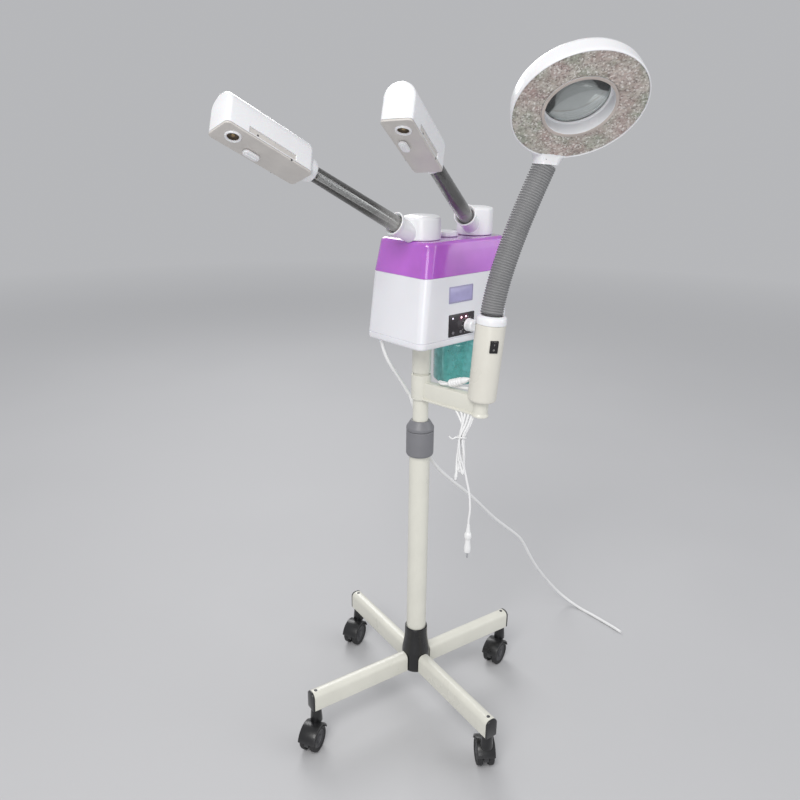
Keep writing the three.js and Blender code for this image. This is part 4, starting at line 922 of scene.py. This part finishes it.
def build_lamp_neck():
    """Moulding that widens from the gooseneck's round end to the flat rim of the lamp."""
    outward, across, back = lamp_frame().to_3x3().col
    heading = HOSE_END_HANDLE.normalized()
    front = heading.cross(across).normalized()
    root = LAMP_CENTRE + outward * (LAMP_RADIUS - 8) + back * 15
    rings = []
    stops = (  # centre, half width and half depth
        (HOSE_END + heading * 2, 15.5, 15.5), (HOSE_END + heading * 7.8, 15.8, 15.8),
        (HOSE_END + heading * 8.2, 20.2, 19.8), (NECK_CENTRE, 25.0, 16.5),
        (NECK_CENTRE.lerp(root, 0.4), 34, 13.5), (NECK_CENTRE.lerp(root, 0.75), 45, 12.0),
        (root, 52, 11.5), (root - outward * 9, 48, 11.0),
    )
    for i, (centre, wide, thick) in enumerate(stops):
        share = min(max(0.0, (i - 2) / 4), 1.0)
        depthwise = front.lerp(-back, share).normalized()
        rings.append(ellipse(centre, across * wide, depthwise * thick))
    piece("lamp_neck_moulding", loft(rings), white, "lamp_head", ["lamp_neck"], sharp=50)
    facing = (front + across * 0.42).normalized()
    basis = Matrix((heading.cross(facing), heading, facing)).transposed().to_4x4()
    slot_place = Matrix.Translation(HOSE_END + heading * 16 + across * 11 + front * 15.7)
    slot = block((-3.4, -1.1, -1.0), (3.4, 1.1, 0.3), 0.3, 1.0)
    piece("neck_screw_slot", moved(slot, slot_place @ basis), dark_metal, "lamp_head")


# ------------------------------------------------------------------ steamer casing


def casing_level(height, inset):
    """Outline of the casing at a height: it tapers a little to the lid and again to the top."""
    lower = min(max((height - CASING_SKIRT) / (CASING_BORDER - CASING_SKIRT), 0), 1)
    upper = min(max((height - CASING_BORDER) / (CASING_TOP - CASING_BORDER), 0), 1)
    corner = CASING_ROUND + 3 * lower + 3 * upper
    return rounded_rect(
        CASING_LEFT + 8 * lower + 6 * upper + inset, CASING_RIGHT - 6 * lower - 5 * upper - inset,
        CASING_FRONT + 2 * upper + inset, CASING_BACK - 5 * lower - 8 * upper - inset,
        max(corner - inset, 0.5), steps=10)


def casing_stack(levels):
    """Solid through the casing's outlines at pairs of height and inset."""
    return loft([
        [Vector((x, y, height)) for x, y in casing_level(height, inset)] for height, inset in levels
    ])


def rounding(height, radius, upward, steps=5):
    """Pairs of height and inset that round an edge off, from the wall to the flat."""
    levels = []
    for step in range(steps + 1):
        angle = math.pi / 2 * step / steps
        levels.append((height - upward * radius * (1 - math.sin(angle)), radius * (1 - math.cos(angle))))
    return levels


def build_casing():
    """Tray, walls and clear lid, with the deck and the rib that show through the lid."""
    body = "steamer"
    skirt = rounding(CASING_BOTTOM, 4.5, -1)[::-1]
    skirt += [(CASING_SKIRT - 1.2, 0), (CASING_SKIRT - 0.5, 1.1)]
    piece("casing_base_tray", casing_stack(skirt), casing_white, body, ["base_plate"])
    walls = [(CASING_SKIRT - 0.4, 1.1), (CASING_SKIRT + 0.6, 0)]
    walls += [(CASING_SKIRT + 0.6 + 20 * i, 0) for i in range(1, 6)]
    walls += [(CASING_BORDER - 0.8, 0), (CASING_BORDER, 0.7)]
    piece("casing_walls", casing_stack(walls), casing_white, body, ["casing_shell"])
    lid = [(CASING_BORDER + 0.3, 0.5), (CASING_BORDER + 0.9, -0.15)]
    lid += [(CASING_BORDER + 20, 0), (CASING_BORDER + 38, 0)]
    lid += rounding(CASING_TOP, 7.0, 1)
    piece("lid_clear_cover", casing_stack(lid), purple, body, ["top_cover"])
    inner = [(CASING_BORDER + 1, 12), (CASING_BORDER + 34, 12), (CASING_BORDER + 38, 15)]
    piece("lid_inner_deck", casing_stack(inner), warm_white, body)
    rib = block((69.5, CASING_FRONT + 5, CASING_BORDER + 1), (72.0, CASING_FRONT + 24, CASING_TOP - 5), 0.4)
    piece("lid_inner_rib", rib, lcd_dark, body)
    dress(board_green, "control_board")
    dress(steel, "heater_element")
    dress(silicone, "steam_pipes")


def front_slab(left, right, low, high, front, thick, ease, corner):
    """A plate along the casing's front, from its front face inwards."""
    flat = slab(
        lambda inset: rounded_rect(left + inset, right - inset, low + inset, high - inset,
                                   max(corner - inset, 0.1)),
        0, thick, ease)
    return moved(flat, Matrix(((1, 0, 0, 0), (0, 0, 1, front), (0, 1, 0, 0), (0, 0, 0, 1))))


def build_front():
    """Display window, control panel, indicator lights, buttons and knob."""
    body = "steamer"
    face = PLATE_FRONT
    window = front_slab(1, 58, 827.5, 855.5, face, 3, 0.4, 1.5)
    bezel = piece("display_surround", window, lcd_dark, body)
    carve(bezel, front_slab(3.2, 56.2, 830, 853.6, face - 2, 2.7, 0.1, 0.6))
    piece("display_pane", front_slab(3.3, 56.1, 830.1, 853.5, face + 0.45, 2.2, 0.1, 0.5), lcd, body,
          ["display_window"])
    panel = front_slab(2, 63.5, 770.6, 808.7, face, 3, 0.45, 1.6)
    piece("panel_plate", panel, panel_black, body, ["control_panel"])
    facing = shift(0, face, 0) @ turn(90, "X")
    lamp = lathe([(0, 0.9), (0.9, 0.75), (1.5, 0.2), (1.5, -0.4), (0, -0.4)], 20)
    lights = (("white", light_white), ("red_1", light_red), ("red_2", light_red))
    for (name, look), (place, _) in zip(lights, PANEL_LIGHTS):
        lit = moved(lamp, shift(place.x, 0, place.z) @ facing)
        piece(f"panel_light_{name}", lit, look, body)
    button = turned([(0, 1.7), (1.9, 1.5), (2.7, 1.2), (2.8, 0.2), (2.8, -0.6), (0, -0.6)], 0.4, 28)
    collar = turned([(3.0, -0.3), (3.8, -0.3), (3.8, 0.35), (3.1, 0.6)], 0.2, 28)
    for name, x in (("power_button", 12.4), ("mode_button", 30.5)):
        place = shift(x, 0, 777.4) @ facing
        piece(f"{name}_cap", moved(button, place), button_grey, name, [name])
        piece(f"{name}_ring", moved(collar, place), rocker_black, body)
    build_knob()


def build_knob():
    """Ribbed timer knob with a pointer, over a ring of plain ticks."""
    place = shift(KNOB_X, CASING_FRONT - 1.1, KNOB_HEIGHT) @ turn(90, "X")
    profile = turned([
        (0, 0.2), (11.2, 0.2), (11.3, 2.6), (10.3, 4.2), (9.9, 12.4), (8.4, 14.8), (5.2, 14.2), (0, 14.0),
    ], 1.0, 64)
    grip = block((9.4, -0.45, 4.4), (10.5, 0.45, 12.6), 0.3)
    grips = [moved(grip, turn(15 * i, "Z")) for i in range(24)]
    pointer = block((-0.8, 3.2, 13.6), (0.8, 9.2, 15.7), 0.4)
    piece("timer_knob_body", moved(joined(profile, *grips, pointer), place), white,
          "timer_knob", ["timer_knob"])
    ticks = []
    for i in range(11):
        tick = block((-0.3, 12.6, -0.1), (0.3, 14.0 if i % 5 else 14.8, 0.12), 0.05)
        ticks.append(moved(tick, turn(150 - 30 * i, "Z")))
    scale_place = shift(KNOB_X, PLATE_FRONT, KNOB_HEIGHT) @ turn(90, "X")
    piece("timer_scale", moved(joined(*ticks), scale_place), warm_white, "steamer")


def build_jar():
    """Water jar, the water in it and the boiler head that it screws into."""
    radius, bottom, shoulder = JAR_RADIUS, JAR_BOTTOM, JAR_SHOULDER
    neck, neck_top = radius - 9, shoulder + 24
    place = shift(JAR_X, 0, 0)
    wall = turned([
        (0, bottom), (38, bottom), (radius - 2.5, bottom + 1.6), (radius, bottom + 6),
        (radius, shoulder - 10), (radius - 3, shoulder - 4), (neck + 1.4, shoulder),
        (neck, shoulder + 5), (neck, neck_top), (neck - 3, neck_top), (neck - 3, shoulder),
        (radius - 3.4, shoulder - 10), (radius - 3.2, bottom + 8), (38, bottom + 4), (0, bottom + 4),
    ], 2.4, 96)
    piece("jar_wall", moved(wall, place), teal, "water_jar", ["water_jar"])
    fill = turned([
        (0, bottom + 4.4), (37.5, bottom + 4.4), (radius - 3.6, bottom + 8.6),
        (radius - 3.6, WATER_LEVEL), (0, WATER_LEVEL),
    ], 2, 72)
    piece("jar_water_fill", moved(fill, place), water, "water_jar")
    head = turned([
        (neck + 0.6, shoulder + 3), (40, shoulder + 3), (40, neck_top + 16), (7, neck_top + 16),
        (7, neck_top + 12), (neck + 0.6, neck_top + 12),
    ], 1, 64)
    piece("boiler_head", moved(head, place), white, "steamer", ["jar_head"])


def build_filler_cap():
    """Cap with a gripping rim in the casing's top."""
    top = CASING_TOP
    cap = turned([
        (0, top - 14), (13, top - 14), (13, top + 0.4), (18.6, top + 0.4), (19, top + 2),
        (19, top + 6.6), (17.2, top + 9), (0, top + 9.4),
    ], 1.2, 64)
    grip = block((18.4, -0.8, top + 1.4), (19.4, 0.8, top + 6.6), 0.35)
    grips = [moved(grip, turn(20 * i, "Z")) for i in range(18)]
    piece("filler_cap_body", moved(joined(cap, *grips), shift(CAP_X, CAP_Y, 0)), white, "filler_cap",
          ["filler_cap"])


# ------------------------------------------------------------------ steam arms


def build_turret(side, arm):
    """Drum that turns in the casing's top, with the trumpet-shaped port that holds its arm."""
    top, radius = arm["turret_top"], TURRET_RADIUS
    drum = turned([
        (0, CASING_TOP - 14), (14, CASING_TOP - 14), (14, CASING_TOP + 0.4),
        (radius - 0.8, CASING_TOP + 0.4), (radius, CASING_TOP + 1.6), (radius, top - 5.5),
        (radius - 1.4, top - 3.2), (22, top - 1.2), (0, top),
    ], 1.8, 96)
    port = turned([
        (0, -42), (15, -42), (15.6, -20), (16.4, -9), (18.8, -1.4), (18.6, 0), (16.6, 0.2), (13.8, -4.5),
        (13.3, -18), (0, -18),
    ], 1.3, 72)
    trumpet = moved(port, arm_port(arm) @ turn(90, "Y"))
    piece(f"turret_{side}_drum", joined(moved(drum, turret_place(arm)), trumpet), white,
          f"turret_{side}", [f"turret_{side}"])


def build_tube(side, arm):
    """Clear arm tube round a thin steam pipe that two spacers hold in its middle."""
    along = arm_port(arm) @ turn(90, "Y")
    body = f"turret_{side}"
    length, root, end, wall = arm["length"], ARM_RADIUS, ARM_END_RADIUS, ARM_WALL
    taper_end = length - HEAD_NECK_LENGTH
    outer = turned([
        (root - wall, -16.5), (root, -16.5), (root, 4), (end, taper_end), (end, length + 3.5),
        (end - wall, length + 3.5), (end - wall, taper_end), (root - wall, 4),
    ], 0.3, 64)
    piece(f"arm_{side}_glass", moved(outer, along), arm_glass[side], body,
          [f"arm_tube_{side}"])
    inner = turned([(4.6, -15), (5.6, -15), (4.8, length), (3.8, length)], 0.3, 32)
    piece(f"arm_{side}_steam_pipe", moved(inner, along), steel, body)
    cuffs = []
    for start, reach in ((2.0, root - wall - 0.2), (length - 24, end - wall - 0.1)):
        cuff = [(5.4, start), (reach, start), (reach, start + 2.5), (5.4, start + 2.5)]
        cuffs.append(moved(turned(cuff, 0.4, 48), along))
    piece(f"arm_{side}_spacers", joined(*cuffs), silicone, body)


def head_half_width(x, inset=0.0):
    """Half the head's width at a distance along it: its four upright edges are rounded."""
    half, corner = HEAD_WIDTH / 2 - inset, HEAD_CORNER - inset
    to_end = min(x - inset, HEAD_LENGTH - inset - x)
    short = max(corner - to_end, 0.0)
    return half - corner + math.sqrt(max(corner ** 2 - short ** 2, 0.0))


def head_top(x):
    """Height of the head's back above its arm's axis: rounded down at both ends."""
    short = max(HEAD_CORNER - min(x, HEAD_LENGTH - x), 0.0)
    return HEAD_TOP - HEAD_CORNER + math.sqrt(max(HEAD_CORNER ** 2 - short ** 2, 0.0))


def head_section(x, floor, steps=28):
    """Outline of the head across the arm: straight sides under a round back."""
    half, rise = head_half_width(x), head_top(x) - HEAD_ARCH_SPRING
    outline = [(-half, floor), (half, floor)]
    for step in range(steps + 1):
        angle = math.pi * step / steps
        outline.append((half * math.cos(angle), HEAD_ARCH_SPRING + rise * math.sin(angle)))
    return [Vector((x, y, z)) for y, z in outline]


def bunched(start, end, count, ends=0.75):
    """Stations along a length, closer together at both ends."""
    stations = []
    for i in range(count + 1):
        share = i / count
        bunch = 0.5 - 0.5 * math.cos(math.pi * share)
        stations.append(start + (end - start) * ((1 - ends) * share + ends * bunch))
    return stations


def plan_outline(inset):
    """The head's outline from above."""
    stations = bunched(inset, HEAD_LENGTH - inset, 40, 1.0)
    right = [(x, -head_half_width(x, inset)) for x in stations]
    left = [(x, head_half_width(x, inset)) for x in reversed(stations)]
    return right + left


def oval(length, width, inset):
    half = width / 2 - inset
    return rounded_rect(-length / 2 + inset, length / 2 - inset, -half, half, half - 0.02, steps=10)


def build_head(side, place):
    """Spray head: shell and neck, cover plate with the steam nozzle, and the oil pad's cap."""
    body = f"head_{side}"
    floor = HEAD_UNDERSIDE + HEAD_COVER + 0.3
    shell = loft([head_section(x, floor) for x in bunched(0.0, HEAD_LENGTH, 60)])
    neck = turned([
        (11.2, -HEAD_NECK_LENGTH), (13.4, -HEAD_NECK_LENGTH), (15.8, -13), (16.8, -7), (16.8, 1),
        (11.2, 1),
    ], 1.6, 64)
    head = piece(f"spray_head_{side}_shell", moved(shell, place), white, body,
                 [f"spray_head_{side}"], sharp=45)
    piece(f"spray_head_{side}_neck", moved(neck, place @ turn(90, "Y")), white, body)
    build_recess(side, head, place)

    # The cover is white plastic; its grey is painted shade.
    cover = slab(plan_outline, HEAD_UNDERSIDE, HEAD_UNDERSIDE + HEAD_COVER, 0.9)
    plate = piece(f"head_{side}_cover", moved(cover, place), white_in_painted_shade, body,
                  [f"head_cover_{side}"], sharp=45)
    at_nozzle = place @ shift(NOZZLE_X, NOZZLE_Y, HEAD_UNDERSIDE)
    carve(plate, moved(lathe([(0, -9), (8.0, -9), (8.0, 9), (0, 9)], 48), at_nozzle))
    rim = turned([
        (7.6, -1.2), (9.2, -2.5), (10.4, -2.2), (11.0, -0.4), (11.0, 1.0), (8.2, 1.0), (7.6, 0.6),
    ], 0.5, 56)
    piece(f"nozzle_{side}_rim", moved(rim, at_nozzle), white, body)
    throat = eased([(7.9, -0.4), (7.9, 3.2), (0, 3.2), (0, 2.4), (7.3, 2.0), (7.3, -0.4)], 0.3)
    piece(f"nozzle_{side}_throat", moved(lathe(throat, 48), at_nozzle), throat_brown, body)
    jet = turned([(0, 0.4), (2.0, 0.4), (3.0, 1.6), (3.0, 2.6), (0, 2.6)], 0.5, 32)
    piece(f"nozzle_{side}_jet", moved(jet, at_nozzle), brass, body)

    seat = HEAD_UNDERSIDE - 0.3
    cap = slab(lambda inset: oval(OIL_CAP_LENGTH, OIL_CAP_WIDTH, inset), seat - 5, seat, 2.2, 5)
    ridge = slab(lambda inset: oval(OIL_CAP_LENGTH - 7, 3.2, inset), seat - 6, seat - 4, 1.0, 4)
    cap_place = place @ shift(OIL_CAP_X, OIL_CAP_Y, 0)
    piece(f"oil_cap_{side}_grip", moved(joined(cap, ridge), cap_place), white, f"oil_cap_{side}",
          [f"oil_cap_{side}"])


def build_recess(side, head, place):
    """Shallow finger recess, its liner and two screws, in both sides of a spray head."""
    half = HEAD_WIDTH / 2
    start, end, low, high = 30.0, 108.0, -15.6, -7.0
    panels, screws = [], []
    for way in (1, -1):
        near, far = sorted((way * (half - 1.6), way * (half + 3)))
        carve(head, moved(block((start, near, low), (end, far, high), 0.3, 0.6), place))
        near, far = sorted((way * (half - 3.2), way * (half - 1.3)))
        panels.append(block((start + 0.3, near, low + 0.3), (end - 0.3, far, high - 0.3), 0.2, 0.5))
        for x, z, out in ((93.5, -12.5, half - 1.2), (38.0, -18.5, half + 0.1)):
            screw = lathe([(0, 0.3), (1.3, 0.2), (1.6, -0.6), (0, -0.6)], 16)
            screws.append(moved(screw, shift(x, way * out, z) @ turn(-90 * way, "X")))
    # The recess liners are white plastic; their grey is painted shade.
    piece(f"head_{side}_side_panels", moved(joined(*panels), place), white_in_painted_shade, f"head_{side}")
    piece(f"head_{side}_screws", moved(joined(*screws), place), dark_metal, f"head_{side}")


def build_arms():
    for side, arm in ARMS.items():
        build_turret(side, arm)
        build_tube(side, arm)
        build_head(side, arm_port(arm) @ shift(arm["length"], 0, 0) @ turn(arm["twist"], "X"))


# ------------------------------------------------------------------ cords


def wavering(points, amount, seed):
    """Points moved a little at random, as slack cord lies."""
    rng = random.Random(seed)
    return [p + Vector([rng.uniform(-amount, amount) for _ in range(3)]) for p in points]


def build_lamp_cord():
    """Spare cord folded into a hank under the lamp arm, held by a twisted tie, and its plug."""
    tops = [
        Vector((x, y, HANK_TOP))
        for x, y in ((0.5, -85.5), (2, -98), (3, -106), (4, -113), (5, -119), (6, -123))
    ]
    ends = vectors(
        (-14, -104, 536), (-15, -106, 538), (-8, -113, 548), (-5, -115, 552), (-2, -112, 556),
        (-10, -106, 550),
    )
    strands = []
    for i, (top, end) in enumerate(zip(tops, ends)):
        spot = polar(4.4, math.pi / 3 * i)
        through = HANK_TIE + spot
        above = top.lerp(through, 0.55) + Vector((2, -1, 4))
        below = HANK_TIE.lerp(end, 0.5) + spot * 1.5
        strands.append(cord(wavering([top, above, through, below, end], 0.8, i), HANK_RADIUS))
    for first, second in zip(ends[::2], ends[1::2]):
        rise = Vector((0, 0, 4))
        under = (first + second) / 2 - Vector((0, 0, 7))
        strands.append(cord([first + rise, first, under, second, second + rise], HANK_RADIUS))
    tail = vectors(
        (-5, -114, 560), (0, -118, 530), (4, -121, 507), (6, -123, 478), (5, -122, 455),
        (5, -122, 444),
    )
    strands.append(cord(tail, 1.9))
    piece("lamp_cord_hank", joined(*strands), cord_white, "lamp_arm", ["lamp_cord"], sharp=60)
    build_tie()
    plug = turned([
        (0, 446), (2.4, 446), (3.4, 436), (4.2, 430), (6.3, 427), (6.6, 421), (4.6, 416), (5.0, 409),
        (6.2, 400), (5.8, 391), (0, 390),
    ], 1.2, 40)
    pin = turned([(0, 391), (1.9, 391), (1.9, 381), (1.2, 378.5), (0, 378)], 0.5, 24)
    hanging = shift(PLUG_X, PLUG_Y, 0)
    piece("lamp_plug_body", moved(plug, hanging), cord_white, "lamp_arm")
    piece("lamp_plug_pin", moved(pin, hanging), steel, "lamp_arm")


def build_tie():
    """Twist tie: a wavy loop round the hank and two ends that stick out together."""
    loop = []
    for i in range(21):
        angle = 2 * math.pi * i / 20
        loop.append(HANK_TIE + polar(7.6, angle, 1.5 * math.sin(2 * angle)))
    ends = [HANK_TIE + out for out in vectors((-6, -3, 0), (-12, 2, 2), (-17, 6, -1), (-21, 10, 4))]
    piece("cord_tie", joined(cord(loop, 1.4, 8), cord(ends, 1.3, 8)), cord_white, "lamp_arm", sharp=60)


def build_connector():
    """Ribbed in-line connector that rests on the bracket's arm by the post."""
    start, end = vectors((6.5, -60, 689.5), (12, -101, 706))
    length = (end - start).length
    profile = [(0, 0), (3.2, 0), (4.2, 3)]
    for i in range(5):
        base = 5 + i * 5.2
        profile += [(6.6, base), (7.0, base + 2.2), (5.4, base + 3.4), (5.4, base + 4.6)]
    profile += [(6.0, length - 10), (4.4, length - 4), (3.4, length), (0, length)]
    body = moved(lathe(eased(profile, 0.7, 3), 40), Matrix.Translation(start) @ aimed(end - start))
    lead = vectors((3, -48, 687), (9, -36, 687), (12, -50, 687), (14, -80, 687), (17, -108, 690))
    stub = vectors((13, -106, 708), (14, -112, 706))
    loops = joined(cord([start, *lead], 2.2, 10), cord([end, *stub], 2.4, 10))
    piece("cord_connector", joined(body, loops), cord_white, "lamp_arm", sharp=60)


def build_mains_cord():
    """The part above the mast and the part down to the collar are pieces on no body; the rest hangs on the
    stand.
    """
    above = vectors((-48, 52, 757), (-46, 48.5, 738), (-40, 43, 717), (-31, 39.5, 700))
    middle = vectors((-10, 37, 669), (2, 36, 650), (8, 35, 640), (20, 30, 600))
    below = vectors(
        (31, 19, 555), (36, 10, 523), (61, 8, 490), (93, 8, 459), (157, 8, 401), (234, 8, 324),
        (310, 8, 257), (336, 8, 228), (361, 8, 190), (385, 8, 154), (429, 8, 99), (476, 4, 45),
        (500, -14, 16), (507, -50, 4), (506, -90, 4), (503, -145, 4), (500, -169, 4),
    )

    def jacket(run):
        return sweep(run, lambda distance: CORD_RADIUS, 14)

    path = smooth_path(above + middle + below)
    high = min(range(len(path)), key=lambda i: (path[i] - above[-1]).length)
    low = min(range(len(path)), key=lambda i: (path[i] - middle[-1]).length)
    runs = (
        ("mains_cord_top", path[:high + 1], "steamer", "mast"),
        ("mains_cord_upper", path[high:low + 1], "mast", "stand"),
    )
    for name, run, first, second in runs:
        flexing = bare_piece(name, jacket(run), cord_white, 60)
        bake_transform(flexing)
    piece("mains_cord_run", jacket(path[low:]), cord_white, "stand", ["mains_cord"], sharp=60)
    grip = turned([(0, 757), (4.6, 757), (4.6, 754.6), (4.0, 753), (3.7, 749), (0, 749)], 0.8, 32)
    piece("strain_relief", moved(grip, shift(above[0].x, above[0].y, 0)), white, "steamer")


# ------------------------------------------------------------------ stage


def area_light(name, place, size, power, color=(1, 1, 1), target=(0.05, -0.05, 0.75)):
    """Square soft light. Its place and size are in metres."""
    light = bpy.data.lights.new(name, "AREA")
    light.size = size
    light.energy = power
    light.color = color
    obj = bpy.data.objects.new(name, light)
    obj.location = place
    obj.rotation_euler = (Vector(target) - Vector(place)).to_track_quat("-Z", "Y").to_euler()
    bpy.context.scene.collection.objects.link(obj)


def fading_floor():
    """Pale matt floor that melts into the backdrop's tone far away."""
    material = empty_material("studio_floor", "white_plastic")
    tree = material.node_tree
    body = body_shader(tree, (0.54, 0.54, 0.55), 0.62, 0.01, 2, 0.02, 900)
    away = distance_from(tree, Vector((0, 0, HUB_BOTTOM)))
    distant = add(tree, "ShaderNodeEmission", {"Color": BACKDROP}).outputs[0]
    return close(material, blended(tree, remap(tree, away, 1.0, 6.0, 0.0, 1.0), body, distant))


def build_stage():
    """Pale floor and backdrop under four soft lights."""
    half, level = STAGE_HALF, -HUB_BOTTOM / 1000
    corners = [(-half, -half, level), (half, -half, level), (half, half, level), (-half, half, level)]
    mesh = bpy.data.meshes.new("studio_floor")
    mesh.from_pydata(corners, [], [(0, 1, 2, 3)])
    mesh.materials.append(fading_floor())
    floor = bpy.data.objects.new("studio_floor", mesh)
    bpy.context.scene.collection.objects.link(floor)
    world = bpy.data.worlds.new("studio")
    world.use_nodes = True
    background = world.node_tree.nodes["Background"]
    background.inputs["Color"].default_value = BACKDROP
    background.inputs["Strength"].default_value = 1.0
    bpy.context.scene.world = world
    area_light("key_light", (-2.2, -1.2, 2.9), 1.6, 62, (1.0, 0.99, 0.97))
    area_light("front_light", (-2.1, -1.9, 0.9), 1.1, 11)
    area_light("fill_light", (1.9, -2.4, 1.6), 2.2, 19, (0.96, 0.98, 1.0))
    area_light("rim_light", (1.2, 2.4, 2.4), 1.6, 36)
    bpy.context.scene.view_settings.view_transform = "Standard"
    bpy.context.scene.view_settings.look = "None"


def build_camera():
    """Camera at the photograph's viewpoint."""
    camera = bpy.data.cameras.new("photo_camera")
    camera.lens = CAMERA_LENS
    camera.sensor_width = 36.0
    camera.clip_start = 0.02
    obj = bpy.data.objects.new("photo_camera", camera)
    aim = turn(CAMERA_AZIMUTH + 90, "Z") @ turn(90 - CAMERA_ELEVATION, "X") @ turn(CAMERA_ROLL, "Z")
    obj.matrix_world = Matrix.Translation(TO_FRAME @ CAMERA_PLACE) @ aim
    bpy.context.scene.collection.objects.link(obj)
    bpy.context.scene.camera = obj


build_base()
build_pole()
build_bracket()
build_post()
build_hose()
build_lamp()
build_lamp_neck()
build_casing()
build_front()
build_jar()
build_filler_cap()
build_arms()
build_lamp_cord()
build_connector()
build_mains_cord()
build_stage()
build_camera()
